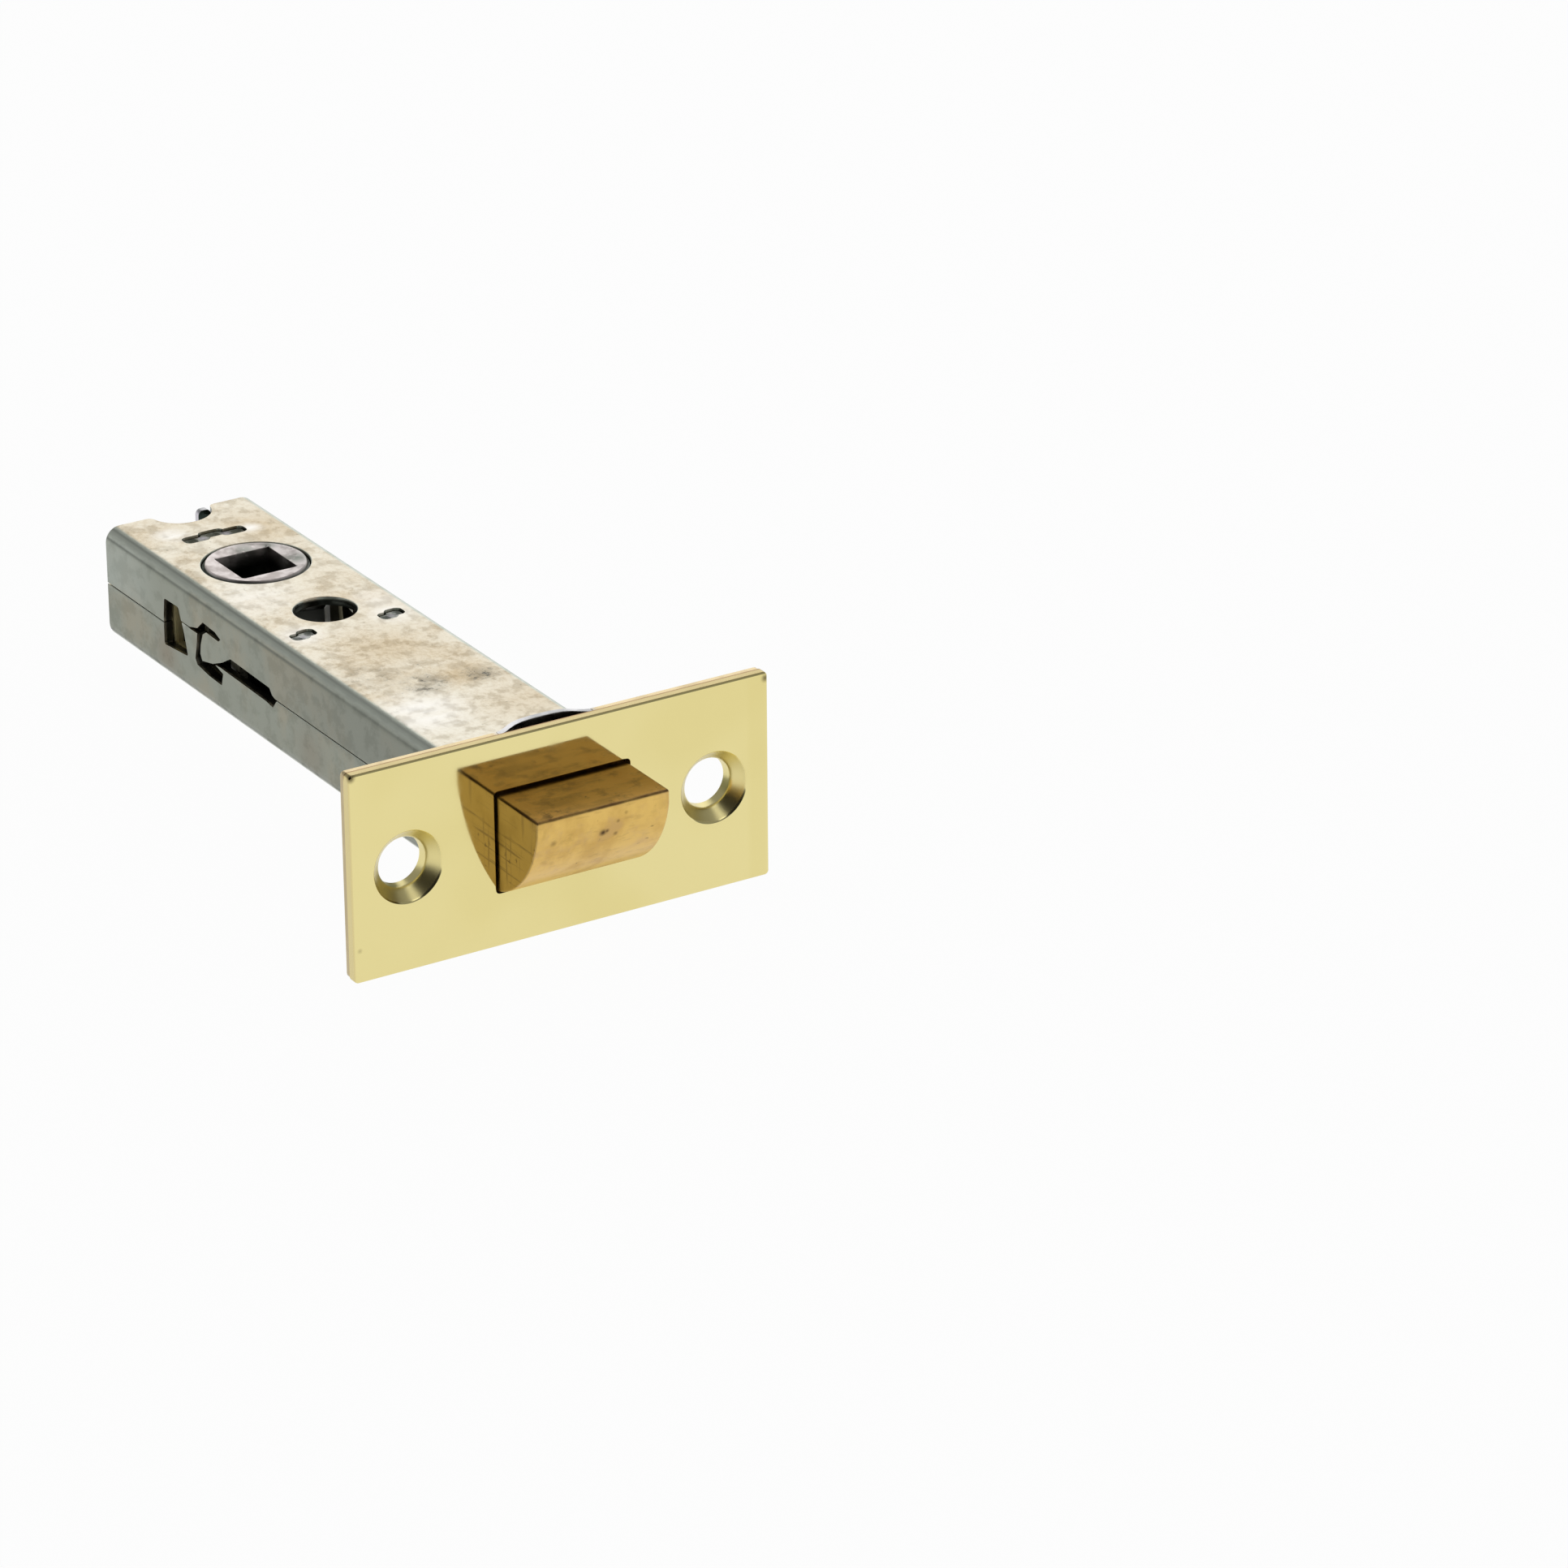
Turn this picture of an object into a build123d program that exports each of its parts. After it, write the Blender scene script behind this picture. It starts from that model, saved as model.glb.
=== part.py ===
"""Tubular door latch with a spring bolt, a turning follower and bolt-through fixings.

Frame: the origin is the centre of the forend's front face. +X points out of the door edge,
the way the bolt looks. +Y runs along the forend's long side. +Z is the follower's axis.
Lengths are in millimetres.
"""
import os
from math import cos, radians, sin, sqrt

from build123d import *

# Forend: the brass plate that shows, and the steel plate behind it
forend_length = 60.0
forend_height = 28.0
forend_thickness = 1.4
forend_corner = 1.0
forend_edge_round = 0.35
inner_plate_thickness = 1.0
inner_plate_margin = 0.1
screw_spacing = 44.0
countersink_radius = 4.75
countersink_depth = 1.7
screw_clear_radius = 3.3
dimple_depth = 3.5
dimple_wall = 0.9
dimple_flare = 0.8
dimple_root = 0.6
aperture_clearance = 0.5
aperture_side_clearance = 0.4
aperture_corner = 0.8

# Bowed strip of the steel plate, along its upper and lower edges
bow_depth = 2.2
bow_start = -8.0
bow_end = 5.5
bow_ramp = 1.9
bow_strip_width = 4.8
bow_round = 1.2

# Case: two folded channels that meet at mid height
rear_reach = 21.6
case_width = 22.5
case_height = 15.8
case_wall = 1.2
case_bend = 1.8
seam_gap = 0.14
slot_corner = 0.3
front_tab_width = 3.0
front_tab_inset = 2.7
front_tab_recess = 0.05
front_tab_root = 0.5

# Follower and the two fixings
backset = 80.0
fixing_offset = 19.0
fixing_radius = 4.2
notch_radius = 4.3
spindle_square = 8.1
journal_radius = 7.2
journal_clearance = 0.09
journal_proud = 0.15
journal_round = 0.5
flange_radius = 7.9
flange_thickness = 3.1
flange_clearance = 0.2
ear_radius = 9.6
ear_side_room = 0.5
ear_width = 3.4
ear_root = 1.0
ear_start_angle = 30.0
ear_tip_round = 0.15

# Latch bolt
bolt_clearance = 0.15
bolt_shoulder_clearance = 0.1
bolt_shoulder_step = 0.45
bolt_projection = 10.0
bolt_nose = 1.95
bolt_inside = 16.5
bolt_shoulder_gap = 0.25
bolt_edge_round = 0.35
bevel_bulge_share_x = 0.735
bevel_bulge_share_z = 0.103
bolt_bore_radius = 5.2
bolt_bore_depth = 8.0
bolt_pin_radius = 1.4
bolt_pin_x = -5.2
bolt_pin_recess = 0.2
pin_fit = 0.02

# Stem, its washer and its snap ring
stem_radius = 2.0
stem_front = -2.2
stem_hole_clearance = 0.25
washer_radius = 2.9
washer_thickness = 1.0
washer_gap = 0.2
clip_radius = 2.9
clip_thickness = 0.8
clip_groove = 0.5
clip_mouth = 1.5
stem_tail = 1.0

# Yoke: one folded strip with two arms
bolt_spring_room = 15.5
yoke_sheet = 1.1
yoke_inner_bend = 0.3
yoke_side_clearance = 0.35
yoke_top_room = 1.8
yoke_tail = 6.2
yoke_rail = 1.8
yoke_end_bar = 1.2
push_tab_gap = 0.25
push_tab_reach = 2.1
push_tab_room = 0.2
push_window_length = 6.0
light_window_ahead = 13.0
light_window_length = 26.0
stop_lug_reach = 1.0
stop_lug_length = 1.1
stop_lug_gap = 0.2

# Cross plates
cross_plate = 1.2
cross_plate_margin = 1.85
seat_offset = 25.0
seat_tab_width = 3.6
seat_tab_lobes = 2
seat_tab_overhang = 0.1
seat_hole_radius = 3.2
rear_stop_offset = 12.0
rear_tab_width = 9.0
rear_tab_lobes = 3
staked_spread = 2.1
staked_stagger = 0.3
staked_overlap = 0.5
staked_corner = 0.7
tab_clearance = 0.06
tab_below_top = 0.3
plate_clearance = 0.05
corner_relief = 0.2
end_sheet = 0.9
end_lip = 2.1
lip_clearance = 0.12
end_inset = 0.2

# Springs
bolt_spring_radius = 4.1
bolt_spring_wire = 1.1
bolt_spring_turns = 7.5
cup_radius = 5.2
cup_thickness = 1.0
return_spring_wire = 0.8
return_spring_turns = 9.5
return_spring_arm_gap = 0.3
return_spring_clip_gap = 0.2
spring_end_gap = 0.1
spring_pin_gap = 0.45
spring_pin_reach = 9.0
spring_pin_head = 0.6

# How far a cutter goes past what it cuts
cut = 1.0

# Values that follow from the driving dimensions
plate_front = -forend_thickness
plate_rear = -(forend_thickness + inner_plate_thickness)
inner_bend = case_bend - case_wall
inner_half_height = case_height / 2 - case_wall
inner_half_width = case_width / 2 - case_wall
bolt_height = 2 * (inner_half_height - bolt_clearance)
bolt_shoulder_width = 2 * (inner_half_width - bolt_shoulder_clearance)
bolt_width = bolt_shoulder_width - 2 * bolt_shoulder_step
aperture_half_width = bolt_width / 2 + aperture_side_clearance
aperture_half_height = bolt_height / 2 + aperture_clearance
fixing_x = backset - fixing_offset
case_rear = backset + rear_reach
spring_seat_x = backset - seat_offset
rear_stop_x = backset + rear_stop_offset
yoke_front = bolt_inside + bolt_spring_room
yoke_rear = backset + yoke_tail
journal_hole_radius = journal_radius + journal_clearance
bow_root = forend_height / 2 - bow_strip_width
front_tab_offset = inner_half_height - front_tab_inset
yoke_width = 2 * (inner_half_width - yoke_side_clearance)
yoke_height = 2 * (inner_half_height - yoke_top_room)
window_half = yoke_height / 2 - yoke_rail
arm_inside = yoke_width / 2 - yoke_sheet
cross_plate_width = 2 * (inner_half_width - cross_plate_margin)
seat_tab_place = cross_plate_width / 2 + seat_tab_overhang - seat_tab_width / 2
spring_room_front = yoke_front + yoke_sheet
return_spring_outside = (arm_inside - clip_radius - return_spring_arm_gap - return_spring_clip_gap) / 2
return_spring_radius = return_spring_outside - return_spring_wire / 2
return_spring_place = arm_inside - return_spring_arm_gap - return_spring_outside
spring_pin_radius = return_spring_radius - return_spring_wire / 2 - spring_pin_gap
spring_pin_head_radius = return_spring_radius + return_spring_wire / 4


def side_profile(points):
    """A face in the XZ plane through the given corners."""
    return make_face(Polyline(*[(x, 0, z) for x, z in points], close=True))


def slab(x_low, x_high, y_low, y_high, z_low, z_high):
    """A block between two corners."""
    block = Box(x_high - x_low, y_high - y_low, z_high - z_low)
    return Pos((x_low + x_high) / 2, (y_low + y_high) / 2, (z_low + z_high) / 2) * block


def rod_x(radius, x_low, x_high, y=0.0, z=0.0):
    """A round bar along X between two places."""
    bar = Rot(0, 90, 0) * Cylinder(radius, x_high - x_low)
    return Pos((x_low + x_high) / 2, y, z) * bar


def rod_z(radius, z_low, z_high, x=0.0, y=0.0):
    """A round bar along Z between two places."""
    return Pos(x, y, (z_low + z_high) / 2) * Cylinder(radius, z_high - z_low)


def plate_x(x_low, x_high, width, height, corner):
    """A plate square to X with rounded corners."""
    outline = RectangleRounded(width, height, corner)
    return Pos(x_low, 0, 0) * extrude(Plane.YZ * outline, x_high - x_low)


def turned_over(shape):
    """The same shape turned half a turn about X."""
    return Rot(180, 0, 0) * shape


def revolve_about_hole(profile, y):
    """A turned form about an axis along X at the given place, from (depth, radius) corners."""
    outline = make_face(Polyline(*[(-depth, radius, 0) for depth, radius in profile], close=True))
    return Pos(0, y, 0) * revolve(outline, Axis.X, 360)


def dimple_outer(clearance):
    """The outside of a pressed countersink behind the brass plate."""
    lip_radius = screw_clear_radius + dimple_wall + clearance
    flare_radius = lip_radius + dimple_flare
    return [
        (forend_thickness, 0),
        (forend_thickness, flare_radius),
        (forend_thickness + dimple_root, lip_radius),
        (dimple_depth, lip_radius),
        (dimple_depth, 0),
    ]


def dimple_inner():
    """The countersink and the clear hole behind it."""
    return [
        (-cut, 0),
        (-cut, countersink_radius),
        (0, countersink_radius),
        (countersink_depth, screw_clear_radius),
        (dimple_depth + cut, screw_clear_radius),
        (dimple_depth + cut, 0),
    ]


def bolt_opening():
    """The opening for the bolt, through both plates."""
    return plate_x(plate_rear - cut, cut, 2 * aperture_half_width, 2 * aperture_half_height, aperture_corner)


def make_forend_plate():
    """The brass plate with its two dimpled screw holes and the bolt aperture."""
    plate = plate_x(-forend_thickness, 0, forend_length, forend_height, forend_corner)
    front_rim = plate.faces().sort_by(Axis.X)[-1].edges()
    plate = fillet(front_rim, forend_edge_round)
    for side in (-1, 1):
        plate += revolve_about_hole(dimple_outer(0), side * screw_spacing / 2)
    for side in (-1, 1):
        plate -= revolve_about_hole(dimple_inner(), side * screw_spacing / 2)
    return plate - bolt_opening()


def front_tabs(clearance):
    """The four tabs of the case that pass through the steel plate."""
    rear = plate_rear - front_tab_root
    front = plate_front - front_tab_recess + clearance
    half_z = front_tab_width / 2 + clearance
    tabs = []
    for side in (-1, 1):
        for level in (-1, 1):
            z_mid = level * front_tab_offset
            inside = side * (inner_half_width - clearance)
            outside = side * (case_width / 2 + clearance)
            y_low, y_high = sorted((inside, outside))
            tabs.append(slab(rear, front, y_low, y_high, z_mid - half_z, z_mid + half_z))
    return tabs


def is_bow_bend(edge):
    """True for the four edges where a ramp meets the level part of the bow."""
    y = edge.center().Y
    return bow_start + bow_ramp / 2 < y < bow_end - bow_ramp / 2


def bowed_strip():
    """The strip that is bowed back along the plate's upper edge."""
    top = forend_height / 2 - inner_plate_margin
    front = [
        (plate_front, bow_start),
        (plate_front - bow_depth, bow_start + bow_ramp),
        (plate_front - bow_depth, bow_end - bow_ramp),
        (plate_front, bow_end),
    ]
    rear = [(x - inner_plate_thickness, y) for x, y in reversed(front)]
    outline = make_face(Polyline(*[(x, y, bow_root) for x, y in front + rear], close=True))
    strip = extrude(outline, top - bow_root, dir=(0, 0, 1))
    bends = strip.edges().filter_by(Axis.Z).filter_by(is_bow_bend)
    return fillet(bends, bow_round)


def make_inner_forend():
    """The steel plate that joins the forend to the case."""
    width = forend_length - 2 * inner_plate_margin
    height = forend_height - 2 * inner_plate_margin
    plate = plate_x(plate_rear, plate_front, width, height, forend_corner)
    lance = slab(plate_rear - cut, plate_front + cut, bow_start, bow_end, bow_root, forend_height)
    strip = bowed_strip()
    plate = plate - lance + strip
    plate = plate - turned_over(lance) + turned_over(strip)
    for side in (-1, 1):
        plate -= revolve_about_hole(dimple_outer(plate_clearance), side * screw_spacing / 2)
    plate -= bolt_opening()
    for tab in front_tabs(tab_clearance):
        plate -= tab
    return plate


def side_place(across, up):
    """A place in the side wall, from the follower's axis, in shares of the case's height."""
    return (across * case_height - backset, up * case_height)


def rear_slot_outline():
    """The four-sided slot in the side wall, level with the follower."""
    rear = [side_place(-0.342, -0.196), side_place(-0.342, 0.025), side_place(-0.316, 0.228)]
    step = [side_place(-0.063, 0.234), side_place(-0.025, 0.139)]
    front = [side_place(0.025, 0.032), side_place(0.082, -0.158)]
    return rear + step + front


def hook_gap_outline():
    """The gap round the upper channel's tongue, from its tick to its lower end."""
    tick = [side_place(0.12, 0.123), side_place(0.272, 0.165)]
    above = [side_place(0.373, 0.25), side_place(0.589, 0.237), side_place(0.684, 0.203)]
    tongue_top = [side_place(0.646, 0.174), side_place(0.43, 0.18), side_place(0.367, 0.139)]
    tongue_rear = [side_place(0.323, 0.032), side_place(0.31, -0.054), side_place(0.342, -0.108)]
    below = [side_place(0.563, -0.06), side_place(0.709, -0.095), side_place(0.677, -0.209)]
    foot = [side_place(0.462, -0.203), side_place(0.247, -0.174), side_place(0.215, -0.127)]
    back_up = [side_place(0.247, 0.0), side_place(0.266, 0.114), side_place(0.12, 0.111)]
    return tick + above + tongue_top + tongue_rear + below + foot + back_up


def long_slot_outline():
    """The long slot that lies along the seam ahead of the tongue."""
    rear = [side_place(0.532, -0.066), side_place(0.696, 0.003), side_place(0.848, 0.089)]
    front = [side_place(1.525, 0.076), side_place(1.57, 0.025), side_place(1.646, 0.0)]
    lower = [side_place(1.576, -0.082), side_place(1.456, -0.066), side_place(0.658, -0.054)]
    return rear + front + lower


def seam_cutters():
    """The thin gaps where the two channels meet, between the slots of one side wall."""
    rear_end, seam_level = side_place(-0.329, 0.0)
    tick_start, tick_level = side_place(-0.032, 0.117)
    tick_end, tick_level = side_place(0.139, 0.117)
    front_start, seam_level = side_place(1.62, 0.0)
    seams = [
        (-case_rear - cut, rear_end, seam_level),
        (tick_start, tick_end, tick_level),
        (front_start, plate_rear + cut, seam_level),
    ]
    y_low = -case_width / 2 - cut
    y_high = -case_width / 2 + case_wall + cut
    half = seam_gap / 2
    return [slab(rear, front, y_low, y_high, level - half, level + half) for rear, front, level in seams]


def side_cutters():
    """All that is cut from the left wall, slots and seam together."""
    y_low = -case_width / 2 - cut
    depth = case_wall + 2 * cut
    cutters = seam_cutters()
    rear_slot = fillet(side_profile(rear_slot_outline()).vertices(), slot_corner)
    hook_gap = side_profile(hook_gap_outline())
    long_slot = side_profile(long_slot_outline())
    for outline in (rear_slot, hook_gap, long_slot):
        cutters.append(Pos(0, y_low, 0) * extrude(outline, depth, dir=(0, 1, 0)))
    return cutters


def staked_outline(width, lobes, clearance):
    """A tab's squashed end from above: rounded lobes in a row, ahead and behind by turns."""
    lobe_width = width / lobes + staked_overlap
    pitch = (width - lobe_width) / (lobes - 1)
    spread = staked_spread + 2 * clearance
    outline = Sketch()
    for number in range(lobes):
        ahead = -staked_stagger if number % 2 else staked_stagger
        across = (lobe_width - width) / 2 + number * pitch
        lobe = RectangleRounded(spread, lobe_width + 2 * clearance, staked_corner + clearance)
        outline += Pos(ahead, across) * lobe
    return outline


def staked_ends(outline, x, y, reach):
    """A tab's two squashed ends, in the upper and the lower wall, out to the given reach."""
    upper = Pos(x, y, inner_half_height) * extrude(outline, reach - inner_half_height)
    lower = Pos(x, y, -reach) * extrude(outline, reach - inner_half_height)
    return [upper, lower]


def seat_tab_ends(clearance, reach):
    """The squashed ends of the spring seat's tabs, four in all."""
    outline = staked_outline(seat_tab_width, seat_tab_lobes, clearance)
    ends = []
    for side in (-1, 1):
        ends += staked_ends(outline, -spring_seat_x, side * seat_tab_place, reach)
    return ends


def rear_tab_ends(clearance, reach):
    """The squashed ends of the rear stop's wide tab."""
    outline = staked_outline(rear_tab_width, rear_tab_lobes, clearance)
    return staked_ends(outline, -rear_stop_x, 0, reach)


def tab_neck(x, y, width):
    """The unsquashed tab that joins a cross plate to its squashed ends."""
    half_x = cross_plate / 2
    return slab(x - half_x, x + half_x, y - width / 2, y + width / 2, -inner_half_height, inner_half_height)


def make_case():
    """The two folded channels, upper and lower, cut from one tube along the seam."""
    outer = RectangleRounded(case_width, case_height, case_bend)
    inner = RectangleRounded(2 * inner_half_width, 2 * inner_half_height, inner_bend)
    length = case_rear + plate_rear
    tube = Pos(-case_rear, 0, 0) * extrude(Plane.YZ * (outer - inner), length)
    for tab in front_tabs(0):
        tube += tab
    for cutter in side_cutters():
        tube -= cutter
        tube -= turned_over(cutter)
    tube -= rod_z(journal_hole_radius, -case_height, case_height, x=-backset)
    tube -= rod_z(fixing_radius, -case_height, case_height, x=-fixing_x)
    tube -= rod_z(notch_radius, -case_height, case_height, x=-case_rear)
    for end in seat_tab_ends(tab_clearance, case_height) + rear_tab_ends(tab_clearance, case_height):
        tube -= end
    halves = tube.solids().sort_by(Axis.Z)
    return halves[-1], halves[0]


def make_latch_bolt():
    """The solid bolt: flat nose, curved bevel, shoulders that stop it behind the forend."""
    half = bolt_height / 2
    nose_foot = (bolt_projection, 0, half - bolt_nose)
    bulge = (bevel_bulge_share_x * bolt_projection, 0, -bevel_bulge_share_z * bolt_height)
    heel = (0, 0, -half)
    outline = [
        Line(heel, (-bolt_inside, 0, -half)),
        Line((-bolt_inside, 0, -half), (-bolt_inside, 0, half)),
        Line((-bolt_inside, 0, half), (bolt_projection, 0, half)),
        Line((bolt_projection, 0, half), nose_foot),
        ThreePointArc(nose_foot, bulge, heel),
    ]
    profile = make_face(outline)
    bolt = extrude(profile, bolt_width / 2, dir=(0, 1, 0), both=True)
    ahead = bolt.edges().filter_by(lambda edge: edge.center().X > bolt_edge_round / 2)
    bolt = fillet(ahead, bolt_edge_round)
    shoulder_front = plate_rear - bolt_shoulder_gap
    shoulder_corner = inner_bend + corner_relief
    bolt += plate_x(-bolt_inside, shoulder_front, bolt_shoulder_width, bolt_height, shoulder_corner)
    bolt -= rod_x(bolt_bore_radius, -bolt_inside - cut, -bolt_inside + bolt_bore_depth)
    bolt -= rod_x(stem_radius + pin_fit, -bolt_inside, stem_front)
    bolt -= rod_z(bolt_pin_radius + pin_fit, -bolt_height, bolt_height, x=bolt_pin_x)
    return bolt


def washer_front():
    """Where the stem's washer starts, behind the yoke."""
    return -(spring_room_front + washer_gap)


def make_bolt_stem():
    """The stem, with the groove for its snap ring and the hole for its pin."""
    groove_front = washer_front() - washer_thickness
    groove_rear = groove_front - clip_thickness
    stem = rod_x(stem_radius, groove_rear - stem_tail, stem_front)
    ring = rod_x(stem_radius + cut, groove_rear, groove_front)
    ring -= rod_x(stem_radius - clip_groove, groove_rear - cut, groove_front + cut)
    stem -= ring
    stem -= rod_z(bolt_pin_radius + pin_fit, -bolt_height, bolt_height, x=bolt_pin_x)
    return stem


def make_bolt_pin():
    """The cross pin through bolt and stem."""
    reach = bolt_height / 2 - bolt_pin_recess
    return rod_z(bolt_pin_radius, -reach, reach, x=bolt_pin_x)


def make_stem_washer():
    """The washer that catches the stem behind the yoke."""
    front = washer_front()
    washer = rod_x(washer_radius, front - washer_thickness, front)
    return washer - rod_x(stem_radius + plate_clearance, front - washer_thickness - cut, front + cut)


def make_stem_clip():
    """The snap ring in the stem's groove, open at one side."""
    front = washer_front() - washer_thickness - pin_fit
    rear = front - clip_thickness + 2 * pin_fit
    ring = rod_x(clip_radius, rear, front)
    ring -= rod_x(stem_radius - clip_groove + pin_fit, rear - cut, front + cut)
    return ring - slab(rear - cut, front + cut, 0, clip_radius + cut, -clip_mouth / 2, clip_mouth / 2)


def make_spring_cup():
    """The washer between the bolt spring and the yoke."""
    front = -yoke_front + cup_thickness
    cup = rod_x(cup_radius, -yoke_front, front)
    return cup - rod_x(stem_radius + stem_hole_clearance, -yoke_front - cut, front + cut)


def coil(radius, wire, turns, x_low, x_high, y):
    """A compression spring along X between two places."""
    start = x_low + wire / 2
    length = x_high - x_low - wire
    path = Helix(length / turns, length, radius)
    section = Plane(origin=path @ 0, z_dir=path % 0) * Circle(wire / 2)
    spring = sweep(section, path, is_frenet=True)
    return Pos(start, y, 0) * (Rot(0, 90, 0) * spring)


def make_bolt_spring():
    """The light spring between the bolt and the cup."""
    front = -bolt_inside + bolt_bore_depth - spring_end_gap
    rear = -yoke_front + cup_thickness + spring_end_gap
    return coil(bolt_spring_radius, bolt_spring_wire, bolt_spring_turns, rear, front, 0)


def make_return_spring(side):
    """One of the two springs that return the yoke."""
    front = -spring_room_front - spring_end_gap
    rear = -spring_seat_x + cross_plate / 2 + spring_end_gap
    y = side * return_spring_place
    return coil(return_spring_radius, return_spring_wire, return_spring_turns, rear, front, y)


def make_spring_pin(side):
    """The headed guide pin inside one return spring."""
    y = side * return_spring_place
    seat_front = -spring_seat_x + cross_plate / 2
    seat_rear = -spring_seat_x - cross_plate / 2
    pin = rod_x(spring_pin_radius, seat_rear, seat_front + spring_pin_reach, y=y)
    pin = chamfer(pin.edges().sort_by(Axis.X)[-1], spring_pin_radius / 3)
    return pin + rod_x(spring_pin_head_radius, seat_rear - spring_pin_head, seat_rear, y=y)


def make_spring_seat():
    """The cross plate that the return springs push against."""
    front = -spring_seat_x + cross_plate / 2
    rear = front - cross_plate
    half = inner_half_height - plate_clearance
    seat = slab(rear, front, -cross_plate_width / 2, cross_plate_width / 2, -half, half)
    for side in (-1, 1):
        seat += tab_neck(-spring_seat_x, side * seat_tab_place, seat_tab_width - staked_overlap)
    for end in seat_tab_ends(0, case_height / 2 - tab_below_top):
        seat += end
    seat -= rod_x(seat_hole_radius, rear - cut, front + cut)
    for side in (-1, 1):
        y = side * return_spring_place
        seat -= rod_x(spring_pin_radius + pin_fit, rear - cut, front + cut, y=y)
    return seat


def make_rear_stop():
    """The cross plate behind the follower."""
    front = -rear_stop_x + cross_plate / 2
    half = inner_half_height - plate_clearance
    stop = slab(front - cross_plate, front, -cross_plate_width / 2, cross_plate_width / 2, -half, half)
    stop += tab_neck(-rear_stop_x, 0, rear_tab_width - staked_overlap)
    for end in rear_tab_ends(0, case_height / 2 - tab_below_top):
        stop += end
    return stop


def make_end_plate():
    """The end wall: two wings, a half tube round the fixing notch, and a lip in its mouth."""
    rear = -case_rear + end_inset
    front = rear + end_sheet
    half_y = inner_half_width - plate_clearance
    half_z = inner_half_height - plate_clearance
    tube_inner = notch_radius + plate_clearance
    tube_outer = tube_inner + end_sheet
    wings = plate_x(rear, front, 2 * half_y, 2 * half_z, inner_bend + corner_relief)
    ring = rod_z(tube_outer, -half_z, half_z, x=-case_rear)
    ring -= slab(-case_rear - case_width, rear, -case_width, case_width, -case_height, case_height)
    wall = wings + ring - rod_z(tube_inner, -case_height, case_height, x=-case_rear)
    lip_tip = notch_radius - end_lip
    lip_top = case_height / 2 - tab_below_top / 2
    lip_root = sqrt(notch_radius ** 2 - (front + case_rear) ** 2) - lip_clearance
    lip = slab(rear, front, lip_tip, lip_root, -lip_top, lip_top)
    foot = slab(rear, front, lip_root - lip_clearance, tube_outer, -half_z, half_z)
    return wall + lip + foot


def folded_blank():
    """The yoke's strip folded to a U: a cross wall and two arms, with round bends."""
    length = yoke_rear - yoke_front
    middle = -(yoke_rear + yoke_front) / 2
    outer = Pos(middle, 0) * Rectangle(length, yoke_width)
    outer = fillet(outer.vertices().sort_by(Axis.X)[-2:], yoke_inner_bend + yoke_sheet)
    inner = Pos(middle - yoke_sheet, 0) * Rectangle(length, yoke_width - 2 * yoke_sheet)
    inner = fillet(inner.vertices().sort_by(Axis.X)[-2:], yoke_inner_bend)
    return Pos(0, 0, -yoke_height / 2) * extrude(outer - inner, yoke_height)


def arm_windows(side):
    """The three windows of one arm: the light one, and one on each side of the push tab."""
    y_low, y_high = sorted((side * arm_inside, side * yoke_width / 2))
    tab_front = push_face()
    light_rear = -backset + light_window_ahead
    windows = [
        (light_rear, light_rear + light_window_length),
        (tab_front, tab_front + push_window_length),
        (-yoke_rear + yoke_end_bar, tab_front - yoke_sheet),
    ]
    y_low -= cut
    y_high += cut
    return [slab(rear, front, y_low, y_high, -window_half, window_half) for rear, front in windows]


def arm_tabs(side):
    """What is bent inwards from one arm: the push tab, and the lugs that stop at the spring seat."""
    tab_front = push_face()
    tab_half = window_half - push_tab_room
    y_low, y_high = sorted((side * yoke_width / 2, side * (yoke_width / 2 - push_tab_reach)))
    tabs = [slab(tab_front - yoke_sheet, tab_front, y_low, y_high, -tab_half, tab_half)]
    lug_front = -spring_seat_x - cross_plate / 2 - stop_lug_gap
    y_low, y_high = sorted((side * yoke_width / 2, side * (arm_inside - stop_lug_reach)))
    for level in (-1, 1):
        z_low, z_high = sorted((level * window_half, level * yoke_height / 2))
        tabs.append(slab(lug_front - stop_lug_length, lug_front, y_low, y_high, z_low, z_high))
    return tabs


def push_face():
    """The front face of the tabs that the follower's ears push, at rest."""
    return -backset + ear_radius * sin(radians(ear_start_angle)) - push_tab_gap


def make_yoke():
    """The retractor, folded from one strip and pierced for the follower's ears and the stem."""
    yoke = folded_blank()
    for side in (-1, 1):
        for window in arm_windows(side):
            yoke -= window
        for tab in arm_tabs(side):
            yoke += tab
    return yoke - rod_x(stem_radius + stem_hole_clearance, -yoke_front - yoke_sheet - cut, -yoke_front + cut)


def ear_outline():
    """An ear in its own frame: first the distance from the axis, then the lead it takes."""
    relief = radians(ear_start_angle)
    inner = journal_radius - ear_root
    lead_back = (ear_radius - inner) * sin(relief) / cos(relief)
    back_radius = sqrt(ear_radius ** 2 - ear_width ** 2)
    root_width = ear_width + ear_root
    return [(inner, -lead_back), (ear_radius, 0), (back_radius, -ear_width), (inner - ear_root, -root_width)]


def make_ear():
    """The ear on the +Y side, pushing rearwards as the follower turns."""
    face = make_face(Polyline(*[(r, t, 0) for r, t in ear_outline()], close=True))
    ear = extrude(face, window_half - ear_side_room, both=True)
    tip = ear.edges().filter_by(Axis.Z).sort_by(Axis.X)[-1]
    ear = fillet(tip, ear_tip_round)
    return Rot(0, 0, 90 - ear_start_angle) * ear


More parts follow.
